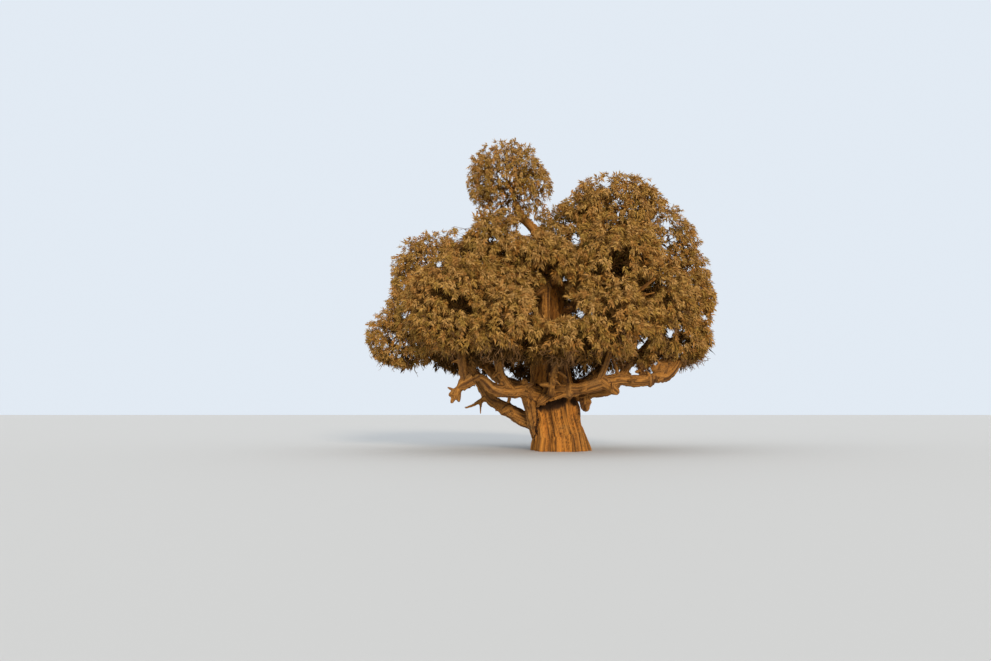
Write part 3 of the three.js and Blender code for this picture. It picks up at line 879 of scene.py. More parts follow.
class Graph:
    """A node tree that is being built."""

    def __init__(self, tree: bpy.types.NodeTree) -> None:
        """Takes the tree to build in, and empties it.

        Args:
            tree: The node tree.
        """
        self.tree = tree
        tree.nodes.clear()

    def add(self, kind: str, inputs: dict | None = None, **settings: object) -> bpy.types.Node:
        """Adds a node.

        Args:
            kind: The node's type.
            inputs: Values, or the sockets that give them, by the input's name or number.
            settings: The node's own settings.

        Returns:
            The node.
        """
        node = self.tree.nodes.new(kind)
        for key, value in settings.items():
            setattr(node, key, value)
        for key, value in (inputs or {}).items():
            if isinstance(value, Socket):
                self.tree.links.new(value, node.inputs[key])
            else:
                node.inputs[key].default_value = value
        return node

    def out(
        self, kind: str, inputs: dict | None = None, output: int | str = 0, **settings: object
    ) -> Socket:
        """Adds a node as add does, and returns one of its outputs by its number or name."""
        return self.add(kind, inputs, **settings).outputs[output]

    def opening(self, sockets: dict[str, str], outputs: dict[str, str]) -> dict[str, Socket]:
        """Gives a group its named inputs and outputs.

        Args:
            sockets: The kind of each input by its name.
            outputs: The kind of each output by its name.

        Returns:
            The sockets that the inputs come out of, by name.
        """
        for in_out, named in (("INPUT", sockets), ("OUTPUT", outputs)):
            for name, kind in named.items():
                kind = f"NodeSocket{kind}"
                self.tree.interface.new_socket(name=name, in_out=in_out, socket_type=kind)
        return {socket.name: socket for socket in self.add("NodeGroupInput").outputs}

    def maths(self, operation: str, first: Value, second: Value) -> Socket:
        """Returns the result of an operation on two numbers."""
        return self.out("ShaderNodeMath", {0: first, 1: second}, operation=operation)

    def ranged(self, value: Value, low: float, high: float, start: float, end: float) -> Socket:
        """Returns where a value lies between low and high, as a number from start to end."""
        spans = {"From Min": low, "From Max": high, "To Min": start, "To Max": end}
        return self.out("ShaderNodeMapRange", {"Value": value, **spans})

    def mottle(self, place: Value, scale: float, detail: float, roughness: float = 0.5) -> Socket:
        """Returns smooth noise at a place."""
        inputs = {"Vector": place, "Scale": scale, "Detail": detail, "Roughness": roughness}
        return self.out("ShaderNodeTexNoise", inputs)

    def blend(self, share: Value, first: Value, second: Value) -> Socket:
        """Returns two colours mixed, which are the node's inputs 6 and 7 and its output 2."""
        inputs = {"Factor": share, 6: first, 7: second}
        return self.out("ShaderNodeMix", inputs, 2, data_type="RGBA")

    def relief(self, height: Value, distance: float, strength: float) -> Socket:
        """Returns the normal of a surface that a height bumps."""
        inputs = {"Height": height, "Distance": distance, "Strength": strength}
        return self.out("ShaderNodeBump", inputs)

    def surface(
        self, colour: Value, roughness: Value, normal: Socket | None = None, gloss: float = 0.5
    ) -> None:
        """Ends a material's tree with its shader.

        Args:
            colour: The base colour.
            roughness: The roughness.
            normal: The normal that its relief gives, if it has one.
            gloss: How strongly it mirrors.
        """
        inputs = {"Base Color": colour, "Roughness": roughness, "Specular IOR Level": gloss}
        if normal is not None:
            inputs["Normal"] = normal
        self.add("ShaderNodeOutputMaterial", {0: self.out("ShaderNodeBsdfPrincipled", inputs)})

    def dressed(self, geometry: Value, material: Value) -> None:
        """Ends a geometry tree by giving what it made a material."""
        inputs = {"Geometry": geometry, "Material": material}
        self.add("NodeGroupOutput", {0: self.out("GeometryNodeSetMaterial", inputs)})


def new_material(name: str, plain: Rgb) -> tuple[bpy.types.Material, Graph]:
    """Starts a material.

    Args:
        name: Its name.
        plain: The colour that it shows where nodes don't.

    Returns:
        The material and its empty graph.
    """
    material = bpy.data.materials.new(name)
    material.use_nodes = True
    material.diffuse_color = (*plain, 1)
    return material, Graph(material.node_tree)


@dataclass(frozen=True)
class Rule:
    """A Geometry Nodes tree and the values of its named inputs."""

    tree: bpy.types.NodeTree
    values: dict[str, object]

    def apply(self, maker: bpy.types.Object, name: str) -> bpy.types.Object:
        """Runs the tree on an object and turns what comes out into a plain piece.

        Args:
            maker: The object that the tree reads, which is removed.
            name: The new piece's name.

        Returns:
            The new piece.
        """
        modifier = maker.modifiers.new(self.tree.name, "NODES")
        modifier.node_group = self.tree
        for item in self.tree.interface.items_tree:
            if item.item_type == "SOCKET" and item.in_out == "INPUT" and item.name in self.values:
                modifier[item.identifier] = self.values[item.name]
        return plain_copy(maker, name)


def twig_tree() -> bpy.types.NodeTree:
    """Builds the tree that gives lines their thickness, from each corner's girth.

    Returns:
        The tree.
    """
    tree = bpy.data.node_groups.new("twigs_on_lines", "GeometryNodeTree")
    graph = Graph(tree)
    given = graph.opening(
        {"Geometry": "Geometry", "Sides": "Int", "Thickness": "Float", "Bark": "Material"},
        {"Geometry": "Geometry"},
    )
    girth = graph.out("GeometryNodeInputNamedAttribute", {"Name": "girth"}, data_type="FLOAT")
    curve = graph.out("GeometryNodeMeshToCurve", {"Mesh": given["Geometry"]})
    ring = graph.out("GeometryNodeCurvePrimitiveCircle", {"Resolution": given["Sides"]})
    wide = graph.maths("MULTIPLY", girth, given["Thickness"])
    tube = graph.out("GeometryNodeCurveToMesh", {"Curve": curve, "Profile Curve": ring, "Scale": wide})
    real = graph.out("GeometryNodeRealizeInstances", {"Geometry": tube})
    graph.dressed(graph.out("GeometryNodeSetShadeSmooth", {"Geometry": real}), given["Bark"])
    return tree


def spray_tree() -> bpy.types.NodeTree:
    """Builds the tree that stands a spray on each point, by the point's turn, size and kind.

    Returns:
        The tree.
    """
    tree = bpy.data.node_groups.new("sprays_on_points", "GeometryNodeTree")
    graph = Graph(tree)
    given = graph.opening(
        {
            "Geometry": "Geometry", "Sprays": "Collection", "Twist": "Float", "Seed": "Int",
            "Leaf": "Material",
        },
        {"Geometry": "Geometry"},
    )
    turn, size, kind = (
        graph.out("GeometryNodeInputNamedAttribute", {"Name": name}, data_type=form)
        for name, form in (("turn", "FLOAT_VECTOR"), ("size", "FLOAT"), ("kind", "INT"))
    )
    sprays = graph.out(
        "GeometryNodeCollectionInfo",
        {"Collection": given["Sprays"], "Separate Children": True, "Reset Children": True},
    )
    stood = graph.out(
        "GeometryNodeInstanceOnPoints",
        {
            "Points": given["Geometry"], "Instance": sprays, "Pick Instance": True,
            "Instance Index": kind, "Rotation": turn, "Scale": size,
        },
    )
    least = graph.maths("MULTIPLY", given["Twist"], -1.0)
    jitter = graph.out(
        "FunctionNodeRandomValue", {"Min": least, "Max": given["Twist"], "Seed": given["Seed"]},
        data_type="FLOAT_VECTOR",
    )
    turned = graph.out(
        "GeometryNodeRotateInstances",
        {"Instances": stood, "Rotation": jitter, "Local Space": True},
    )
    real = graph.out("GeometryNodeRealizeInstances", {"Geometry": turned})
    graph.dressed(real, given["Leaf"])
    return tree


def grain_group() -> bpy.types.NodeTree:
    """Builds the shader group for strips that run with the grain, shared by all the bark.

    Returns:
        The group.
    """
    tree = bpy.data.node_groups.new("strips_with_the_grain", "ShaderNodeTree")
    graph = Graph(tree)
    given = graph.opening(
        {
            "Grain": "Vector", "Furrow": "Float", "Width": "Float", "Run": "Float",
            "Ridge": "Color", "Side": "Color", "Depth": "Color", "Weathered": "Color",
        },
        {"Color": "Color", "Roughness": "Float", "Height": "Float"},
    )
    width = given["Width"]
    scale = graph.out("ShaderNodeCombineXYZ", {0: width, 1: width, 2: given["Run"]})
    inputs = {0: given["Grain"], 1: scale}
    stretched = graph.out("ShaderNodeVectorMath", inputs, operation="DIVIDE")
    strips = graph.mottle(stretched, 1.0, 5.0, 0.62)
    patches = graph.mottle(given["Grain"], 1.7, 3.0, 0.6)
    fibres = graph.mottle(stretched, 4.5, 3.0, 0.7)
    lit = graph.ranged(strips, 0.36, 0.62, 0.0, 1.0)
    worn = graph.ranged(patches, 0.5, 0.72, 0.0, 0.7)
    cracks = graph.ranged(fibres, 0.47, 0.34, 0.0, 0.55)
    face = graph.blend(lit, given["Side"], given["Ridge"])
    aged = graph.blend(worn, face, given["Weathered"])
    # The furrow input holds the bark's furrows and the painted shade; with the fine cracks they take the
    # depth colour
    dark = graph.maths("MAXIMUM", given["Furrow"], cracks)
    results = {
        "Color": graph.blend(dark, aged, given["Depth"]),
        "Roughness": graph.ranged(strips, 0.3, 0.7, 0.95, 0.78),
        "Height": graph.out("ShaderNodeMix", {"Factor": 0.4, 2: strips, 3: fibres}),
    }
    graph.add("NodeGroupOutput", results)
    return tree


@dataclass(frozen=True)
class BarkFinish:
    """The finish of fibrous bark whose strips follow the limb."""

    name: str
    ridge: Rgb
    side: Rgb
    depth: Rgb
    weathered: Rgb
    width: float = 0.09
    run: float = 1.3
    bump: float = 0.03
    gloss: float = 0.2

    def make(self, strips: bpy.types.NodeTree) -> bpy.types.Material:
        """Builds the material.

        Args:
            strips: The shader group for the grain.

        Returns:
            The material.
        """
        material, graph = new_material(self.name, self.side)
        colours = {
            socket: (*getattr(self, socket.lower()), 1)
            for socket in ("Ridge", "Side", "Depth", "Weathered")
        }
        inputs = {
            "Grain": graph.out("ShaderNodeAttribute", output="Vector", attribute_name="grain"),
            # The furrow attribute brings in the furrows and the painted shade alike
            "Furrow": graph.out("ShaderNodeAttribute", output="Fac", attribute_name="furrow"),
            "Width": self.width, "Run": self.run, **colours,
        }
        bark = graph.add("ShaderNodeGroup", inputs, node_tree=strips).outputs
        normal = graph.relief(bark["Height"], self.bump, 1.0)
        graph.surface(bark["Color"], bark["Roughness"], normal, self.gloss)
        return material


@dataclass(frozen=True)
class FineFinish:
    """The finish of scale leaves and thin twigs: a plain colour with a fine scaly relief."""

    name: str
    colour: Rgb
    roughness: float = 0.7
    scales: float = 55.0
    bump: float = 0.006
    strength: float = 0.6
    gloss: float = 0.08

    def make(self) -> bpy.types.Material:
        """Builds the material.

        Returns:
            The material.
        """
        material, graph = new_material(self.name, self.colour)
        grains = graph.mottle(graph.out("ShaderNodeTexCoord", output="Object"), self.scales, 1.0)
        normal = graph.relief(grains, self.bump, self.strength)
        graph.surface((*self.colour, 1), self.roughness, normal, self.gloss)
        return material


@dataclass
class Wood:
    """One piece of fused wood: limbs, with or without the trunk, and the bark's relief on them."""

    name: str
    skeleton: Skeleton
    timber: Timber
    voxel: float
    with_trunk: bool = False
    # The rings of corners that are fused, their rounded ends, and how they are smoothed
    sides: int = 20
    trunk_sides: int = 160
    step: float = 0.07
    least_rings: int = 6
    root_depth: float = 0.4
    swell: float = 0.03
    end_reach: float = 0.6
    end_width: float = 0.8
    easing: float = 0.4
    smoothing: int = 4
    # How the grain is measured, and set off from limb to limb
    guide_side: float = math.pi / 3
    run_shift: float = 0.37
    turn_shift: float = 5.3
    # Lumps and, on them, smaller ones
    lump: float = 0.3
    trunk_lumps: float = 0.55
    limb_lumps: float = 1.1
    lump_stretch: Xyz = (1, 1, 0.35)
    small_lumps: float = 2.3
    small_shift: float = 40
    small_share: float = 0.5
    stoutest: float = 0.55
    # Strips of bark, and the furrows between them
    strip: float = 0.085
    strip_run: float = 26.0
    strip_depth: float = 0.065
    limb_strip: float = 0.075
    limb_strip_depth: float = 0.028
    wander: float = 1.6
    wander_cells: Xyz = (0.7, 0.7, 0)
    wander_shift: float = 30
    furrow_width: float = 0.3
    fine_cells: Xyz = (2.1, 2.1, 1.7)
    fine_width: float = 0.26
    fine_floor: float = 0.25
    # Painted shade at a seam, widest as a painted shadow band below a bough's collar
    crevice: float = 0.1
    crevice_core: float = 0.7
    darkest_crevice: float = 0.97
    shadow: float = 0.42
    wide_shadow: float = 0.57
    wide_from: Pair = (-0.6, -0.3)
    wide_to: Pair = (0.4, 0.7)
    overhang: Pair = (-0.1, 0.25)
    # How the trunk falls back below a collar
    recess: float = 0.16
    recess_core: float = 0.3
    recess_drop: Pair = (0.0, 0.2)
    collar_foot: Pair = (1.1, 1.6)
    # Painted shade: dark patches up the trunk under the crown, fainter on the lit side
    crown_from: Pair = (2.7, 3.3)
    crown_to: Pair = (4.8, 5.6)
    patch_cells: Xyz = (5.0, 5.0, 0.8)
    patch_gain: float = 2.2
    patch_floor: float = 0.3
    darkest_patch: float = 0.92
    lit_side: Pair = (-0.5, -0.15)
    lit_patches: float = 0.4

    @property
    def limbs(self) -> list[Limb]:
        """The limbs that this piece is made of."""
        return [limb for limb in self.skeleton.limbs if limb.timber is self.timber]

    def trunk_rings(self) -> Array:
        """Lays the trunk's rings of corners, carried on below the cut for now.

        Returns:
            The corners, by ring and by corner round it.
        """
        trunk = self.skeleton.trunk
        heights = np.arange(0, trunk.height, self.step)
        angles = np.linspace(0, math.tau, self.trunk_sides, endpoint=False)
        near = np.abs(heights[:, None] - heights[None])
        share = np.clip(1 - near / self.easing, 0, None)
        radii = share @ trunk.radius(heights[:, None], angles[None]) / share.sum(axis=1)[:, None]
        middles = trunk.places(heights / trunk.height)
        ways = np.stack((np.cos(angles), np.sin(angles), np.zeros_like(angles)), -1)
        rings = middles[:, None] + radii[..., None] * ways
        below = rings[0] - UP * self.root_depth
        return np.concatenate((below[None], rings))

    def limb_rings(self, limb: Limb) -> Array:
        """Lays a limb's rings of corners, with a rounded end.

        Args:
            limb: The limb.

        Returns:
            The corners, by ring and by corner round it.
        """
        line = self.skeleton.lines[limb.name]
        shares = self.ring_shares(line)
        places, along, across, third = line.frames(shares)
        radii = self.skeleton.radius_of(limb, shares) + self.swell
        angles = np.linspace(0, math.tau, self.sides, endpoint=False)
        ways = np.cos(angles)[:, None] * across[:, None] + np.sin(angles)[:, None] * third[:, None]
        rings = places[:, None] + radii[:, None, None] * ways
        end_ways = along[-1] + self.end_width * ways[-1]
        blunt = places[-1] + self.end_reach * radii[-1] * end_ways
        return np.concatenate((rings, blunt[None]))

    def ring_shares(self, line: Line) -> Array:
        """Returns where along a limb its rings stand, as shares of its length."""
        return np.linspace(0, 1, max(self.least_rings, int(line.length / self.step)))

    def guides(self) -> dict[str, Array]:
        """Gathers points down the middle of every limb, to find the grain by.

        Returns:
            Each point's place, the radius there, how far along its limb it is, the limb's number,
            its two ways across, and the limb's mean radius. The trunk's number is 0.
        """
        trunk = self.skeleton.trunk
        rows = []
        if self.with_trunk:
            heights = np.arange(-self.root_depth, trunk.height, self.step)
            middles = trunk.places(np.clip(heights, 0, None) / trunk.height)
            middles[:, 2] = heights
            radii = trunk.radius(np.clip(heights, 0, None), self.guide_side)
            flat = np.zeros(len(heights))
            across = np.tile((1.0, 0.0, 0.0), (len(heights), 1))
            third = np.tile((0.0, 1.0, 0.0), (len(heights), 1))
            rows.append((middles, radii, heights, flat, across, third, flat + 1.0))
        for number, limb in enumerate(self.limbs, 1):
            line = self.skeleton.lines[limb.name]
            shares = self.ring_shares(line)
            places, _, across, third = line.frames(shares)
            radii = self.skeleton.radius_of(limb, shares)
            same = np.full(len(shares), float(number))
            mean = np.full(len(shares), (limb.girth + limb.tip) / 2)
            rows.append((places, radii, shares * line.length, same, across, third, mean))
        names = ("place", "radius", "along", "number", "across", "third", "mean")
        return {name: np.concatenate(parts) for name, parts in zip(names, zip(*rows))}

    def grain_of(self, corners: Array, guides: dict[str, Array]) -> tuple[Array, ...]:
        """Finds where each corner lies along and round its nearest limb.

        Args:
            corners: The corners of the wood.
            guides: The points down the middle of the limbs.

        Returns:
            Each corner's place in a straightened limb, its limb's number and radius, how far it
            is from the seam with another limb, and how far that limb's middle is above it.
        """
        nearest = np.empty(len(corners), int)
        seam = np.empty(len(corners))
        over = np.empty(len(corners))
        for start in range(0, len(corners), CORNERS_AT_ONCE):
            rows = slice(start, start + CORNERS_AT_ONCE)
            part = corners[rows, None]
            gaps = np.linalg.norm(part - guides["place"][None], axis=2) - guides["radius"]
            best = gaps.argmin(axis=1)
            own = guides["number"][best][:, None] == guides["number"][None]
            others = np.where(own, np.inf, gaps)
            other = others.argmin(axis=1)
            nearest[rows] = best
            seam[rows] = others.min(axis=1) - gaps.min(axis=1)
            over[rows] = guides["place"][other, 2] - part[:, 0, 2]
        out = corners - guides["place"][nearest]
        x = np.einsum("ij,ij->i", out, guides["across"][nearest])
        y = np.einsum("ij,ij->i", out, guides["third"][nearest])
        round_it = guides["mean"][nearest] / np.maximum(np.hypot(x, y), TINY)
        number = guides["number"][nearest]
        runs = guides["along"][nearest] + self.run_shift * number
        turned = number * self.turn_shift
        grain = np.stack((x * round_it + turned, y * round_it, runs), -1)
        return grain, number, guides["radius"][nearest], seam, over

    def shaded(self, grain: Array, number: Array, seam: Array, over: Array) -> Array:
        """Paints shade into the trunk's colour: in crevices, as a shadow band below a bough's collar,
        and in patches up under the crown.

        Args:
            grain: Each corner's place in a straightened limb.
            number: Its limb's number.
            seam: How far it is from the seam with another limb.
            over: How far that limb's middle is above it.

        Returns:
            How dark the painted shade makes each corner, from 0 to 1.
        """
        across, height = grain[:, 0], grain[:, 2]
        high = step_between(*self.collar_foot, height)
        shadow = mix(self.shadow, self.wide_shadow, band(self.wide_from, self.wide_to, across))
        reach = mix(self.crevice, shadow, high * step_between(*self.overhang, over))
        crevice = 1 - step_between(self.crevice_core * reach, reach, seam)
        # Painted shade of the crown on the trunk, between these heights, with patches fainter on the lit
        # side
        under = band(self.crown_from, self.crown_to, height)
        patches = self.patch_gain * noise(grain * self.patch_cells, seed=13) - self.patch_floor
        patches = np.clip(patches, 0, self.darkest_patch)
        patches *= mix(self.lit_patches, 1.0, step_between(*self.lit_side, across))
        return (number == 0) * np.maximum(self.darkest_crevice * crevice, under * patches)

    def furrows(self, grain: Array, number: Array) -> Array:
        """Lays the furrows between the strips of bark.

        Args:
            grain: Each corner's place in a straightened limb.
            number: Its limb's number.

        Returns:
            How deep in a furrow each corner lies, from 0 to 1.
        """
        width = np.where(number == 0, self.strip, self.limb_strip)[:, None]
        stretched = grain / width / (1, 1, self.strip_run)
        shifted = stretched.copy()
        places = stretched * self.wander_cells + self.wander_shift
        shifted[:, 2] += self.wander * noise(places, seed=9)
        ridges = np.abs(2 * noise(shifted, seed=3) - 1)
        fine = np.abs(2 * noise(shifted * self.fine_cells, seed=4) - 1)
        shallow = self.fine_floor + fine / self.fine_width
        return np.clip(1 - np.minimum(ridges / self.furrow_width, shallow), 0, 1)

    def carve(self, mesh: bpy.types.Mesh, guides: dict[str, Array]) -> None:
        """Smooths the crotches and then raises the lumps, strips and furrows of the bark.

        Args:
            mesh: The fused wood.
            guides: The points down the middle of the limbs.
        """
        corners = corners_of(mesh)
        edges = np.empty(len(mesh.edges) * 2, np.int32)
        mesh.edges.foreach_get("vertices", edges)
        one, other = edges.reshape(-1, 2).T
        shared = np.bincount(edges, minlength=len(corners))[:, None]
        for _ in range(self.smoothing):
            total = np.zeros_like(corners)
            np.add.at(total, one, corners[other])
            np.add.at(total, other, corners[one])
            corners = mix(corners, total / shared, 0.5)
        mesh.vertices.foreach_set("co", corners.astype(np.float32).ravel())
        mesh.update()
        normals = np.empty(len(corners) * 3, np.float32)
        mesh.vertex_normals.foreach_get("vector", normals)
        grain, number, radius, seam, over = self.grain_of(corners, guides)
        on_trunk = number == 0
        size = np.where(on_trunk, self.trunk_lumps, self.limb_lumps * radius)[:, None]
        stretch = np.where(on_trunk[:, None], self.lump_stretch, (1, 1, 1))
        places = corners * stretch / size
        lumps = noise(places, seed=5) - 0.5
        small = noise(places * self.small_lumps + self.small_shift, seed=6) - 0.5
        height = self.lump * np.minimum(radius, self.stoutest)
        raised = (lumps + self.small_share * small) * height
        depth = np.where(on_trunk, self.strip_depth, self.limb_strip_depth)
        raised -= depth * self.furrows(grain, number)
        near = 1 - step_between(self.recess_core * self.shadow, self.shadow, seam)
        below = step_between(*self.recess_drop, over) * near
        raised -= self.recess * on_trunk * below * step_between(*self.collar_foot, grain[:, 2])
        corners += normals.reshape(-1, 3) * raised[:, None]
        mesh.vertices.foreach_set("co", corners.astype(np.float32).ravel())
        mesh.update()

    @staticmethod
    def cut_at_ground(mesh: bpy.types.Mesh) -> None:
        """Cuts the trunk flat at ground level and closes the cut.

        Args:
            mesh: The fused wood.
        """
        work = bmesh.new()
        work.from_mesh(mesh)
        whole = work.verts[:] + work.edges[:] + work.faces[:]
        bmesh.ops.bisect_plane(
            work, geom=whole, plane_co=(0, 0, CUT_HEIGHT), plane_no=(0, 0, 1), clear_inner=True
        )
        rim = [edge for edge in work.edges if edge.is_boundary]
        bmesh.ops.holes_fill(work, edges=rim, sides=0)
        bmesh.ops.triangulate(work, faces=[face for face in work.faces if len(face.verts) > 4])
        work.to_mesh(mesh)
        work.free()

    def make(self, bark: bpy.types.Material, limb_bark: bpy.types.Material) -> bpy.types.Object:
        """Fuses, carves and dresses the wood.

        Args:
            bark: The trunk's bark.
            limb_bark: The limbs' bark.

        Returns:
            The finished piece.
        """
        soup = Soup()
        if self.with_trunk:
            soup.rings(self.trunk_rings())
        for limb in self.limbs:
            soup.rings(self.limb_rings(limb))
        name = f"{self.name}_maker"
        maker = placed(name, soup.mesh(name))
        fusing = maker.modifiers.new("fuse", "REMESH")
        fusing.mode = "VOXEL"
        fusing.voxel_size = self.voxel
        piece = plain_copy(maker, self.name)
        mesh = piece.data
        guides = self.guides()
        self.carve(mesh, guides)
        if self.with_trunk:
            self.cut_at_ground(mesh)
        grain, number, _, seam, over = self.grain_of(corners_of(mesh), guides)
        # The bark's furrows, together with the painted shade in crevices, below the collars and under
        # the crown
        dark = np.maximum(self.furrows(grain, number), self.shaded(grain, number, seam, over))
        attach(mesh, "grain", "FLOAT_VECTOR", grain)
        attach(mesh, "furrow", "FLOAT", dark)
        mesh.materials.append(bark)
        mesh.materials.append(limb_bark)
        firsts = np.array([polygon.vertices[0] for polygon in mesh.polygons])
        mesh.polygons.foreach_set("material_index", (number[firsts] > 0).astype(np.int32))
        mesh.shade_smooth()
        hand_in(piece, "bark", self.nodes())
        return piece

    def nodes(self) -> list[str]:
        """Returns the names of the solids that this piece stands for."""
        named = [limb.name for limb in self.limbs if limb.in_frame]
        return ["trunk", *named] if self.with_trunk else named


@dataclass
class Chains:
    """Lines of corners, each with its girth, that twigs are laid along."""

    places: list[Array] = field(default_factory=list)
    girths: list[Array] = field(default_factory=list)

    def add(self, places: Array, girths: Pair) -> None:
        """Adds lines.

        Args:
            places: Corners, by line and by corner along it.
            girths: The radius at a line's root and at its tip.
        """
        self.places.append(places)
        self.girths.append(np.broadcast_to(np.linspace(*girths, places.shape[1]), places.shape[:2]))

    def make(self, name: str, rule: Rule) -> bpy.types.Object:
        """Lays twigs along all the lines.

        Args:
            name: The piece's name.
            rule: The twig tree and its values.

        Returns:
            The piece.
        """
        corners, edges, start = [], [], 0
        for places in self.places:
            lines, steps, _ = places.shape
            corners.append(places.reshape(-1, 3))
            numbers = start + np.arange(lines * steps).reshape(lines, steps)
            edges.append(np.stack((numbers[:, :-1].ravel(), numbers[:, 1:].ravel()), -1))
            start += lines * steps
        mesh = bpy.data.meshes.new(f"{name}_lines")
        mesh.from_pydata(np.concatenate(corners).tolist(), np.concatenate(edges).tolist(), [])
        attach(mesh, "girth", "FLOAT", np.concatenate([girth.ravel() for girth in self.girths]))
        return rule.apply(placed(f"{name}_lines", mesh), name)


@dataclass
class Sprays:
    """Where sprays stand: their roots, ways and sizes."""

    roots: list[Array] = field(default_factory=list)
    ways: list[Array] = field(default_factory=list)
    sizes: list[Array] = field(default_factory=list)
    roll: float = 0.7

    def add(self, roots: Array, ways: Array, sizes: Array) -> None:
        """Adds sprays, one to a row.

        Args:
            roots: Where they stand.
            ways: Which way each hangs.
            sizes: Their lengths.
        """
        self.roots.append(roots)
        self.ways.append(ways)
        self.sizes.append(sizes)

    @property
    def parts(self) -> tuple[list[Array], ...]:
        """The roots, the ways and the sizes."""
        return self.roots, self.ways, self.sizes

    @staticmethod
    def turns(ways: Array, rolls: Array) -> Array:
        """Works out how each spray is turned.

        Args:
            ways: Which way each hangs.
            rolls: How far each is rolled about its way.

        Returns:
            The Euler turns that bring a spray's X axis to its way.
        """
        flat = unit(np.cross(UP, ways) + (TINY, 0, 0))
        lift = np.cross(ways, flat)
        side = flat * np.cos(rolls)[:, None] + lift * np.sin(rolls)[:, None]
        top = np.cross(ways, side)
        pitch = -np.arcsin(np.clip(ways[:, 2], -1, 1))
        return np.stack(
            (np.arctan2(side[:, 2], top[:, 2]), pitch, np.arctan2(ways[:, 1], ways[:, 0])), -1
        )

    def make(self, name: str, rule: Rule, kinds: int, seed: int) -> bpy.types.Object:
        """Stands a spray on every place.

        Args:
            name: The piece's name.
            rule: The spray tree and its values.
            kinds: How many kinds of spray there are to choose from.
            seed: Picks the kinds and rolls.

        Returns:
            The piece.
        """
        rng = np.random.default_rng(seed)
        roots, ways, sizes = (np.concatenate(part) for part in self.parts)
        mesh = bpy.data.meshes.new(f"{name}_points")
        mesh.from_pydata(roots.tolist(), [], [])
        rolls = rng.uniform(-self.roll, self.roll, len(sizes))
        attach(mesh, "turn", "FLOAT_VECTOR", self.turns(ways, rolls))
        attach(mesh, "size", "FLOAT", sizes)
        attach(mesh, "kind", "INT", rng.integers(0, kinds, len(sizes)))
        return rule.apply(placed(f"{name}_points", mesh), name)


@dataclass(frozen=True)
class Frond:
    """A flat frond: a midrib that droops, with teeth on both sides and one at its tip."""

    teeth: int = 1
    width: float = 0.2
    forward: float = 0.4
    droop: float = 0.25
    fold: float = 0.08
    toothed: float = 0.86
    base_width: float = 0.25
    tip_reach: float = 0.16
    tip_drop: float = 0.1

    def add_to(self, soup: Soup, root: Array, way: Array, length: float, roll: float) -> None:
        """Adds the frond's faces.

        Args:
            soup: What it is added to.
            root: Where it stands.
            way: Which way it starts out.
            length: Its length.
            roll: How far it is rolled about its way.
        """
        flat = unit(np.cross(UP, way) + (0, TINY, 0))
        side = flat * math.cos(roll) + np.cross(way, flat) * math.sin(roll)
        lift = np.cross(way, side)
        steps = np.linspace(0, 1, self.teeth + 1)[:, None] * self.toothed
        spine = root + length * (way * steps - UP * self.droop * steps**2)
        bulge = steps[:-1] * (1 - self.base_width) + self.base_width
        shape = np.sin(math.pi * bulge) * self.width * length
        start = soup.count
        tips = spine[:-1] + length * way * self.forward - lift * length * self.fold
        end = spine[-1:] + length * (self.tip_reach * way - self.tip_drop * UP)
        soup.corners += [spine, tips + side * shape, tips - side * shape, end]
        soup.count += 3 * self.teeth + 2
        left, right = start + self.teeth + 1, start + 2 * self.teeth + 1
        for k in range(self.teeth):
            soup.faces.append((start + k, left + k, start + k + 1))
            soup.faces.append((start + k, start + k + 1, right + k))
        soup.faces.append((start + self.teeth - 1, start + self.teeth, soup.count - 1))


@dataclass(frozen=True)
class SprayKinds:
    """A few kinds of spray, each of short fronds along a twig that hangs, one metre long."""

    name: str
    kinds: int = 8
    fronds: int = 12
    spread: float = 1.1
    frond_length: float = 0.52
    stem: float = 0.42
    frond_shares: Pair = (0.7, 1.2)
    frond_roll: float = 1.2
    leans: Pair = (0.5, 1.2)
    root_lean: float = 1.1
    lean_loss: float = 0.5
    scatter: float = 0.05
    sag: float = 0.16
    frond: Frond = field(default_factory=Frond)
    seed: int = 7

    def make(self) -> bpy.types.Collection:
        """Builds the kinds.

        Returns:
            A collection of the kinds, which isn't in the scene.
        """
        rng = np.random.default_rng(self.seed)
        collection = bpy.data.collections.new(self.name)
        for kind in range(self.kinds):
            soup = Soup()
            for k in range(self.fronds):
                share = (k + 0.5) / self.fronds
                turn = k * GOLDEN_TURN + rng.uniform(0, 1)
                narrowing = self.root_lean - self.lean_loss * share
                lean = self.spread * rng.uniform(*self.leans) * narrowing
                way = unit(np.array((1.0, lean * math.cos(turn), lean * math.sin(turn))))
                root = np.array((share * self.stem, 0, -self.sag * share**2))
                root += self.scatter * rng.normal(size=3)
                length = self.frond_length * rng.uniform(*self.frond_shares)
                roll = rng.uniform(-self.frond_roll, self.frond_roll)
                self.frond.add_to(soup, root, way, length, roll)
            name = f"{self.name}_{kind}"
            collection.objects.link(bpy.data.objects.new(name, soup.mesh(name)))
        return collection


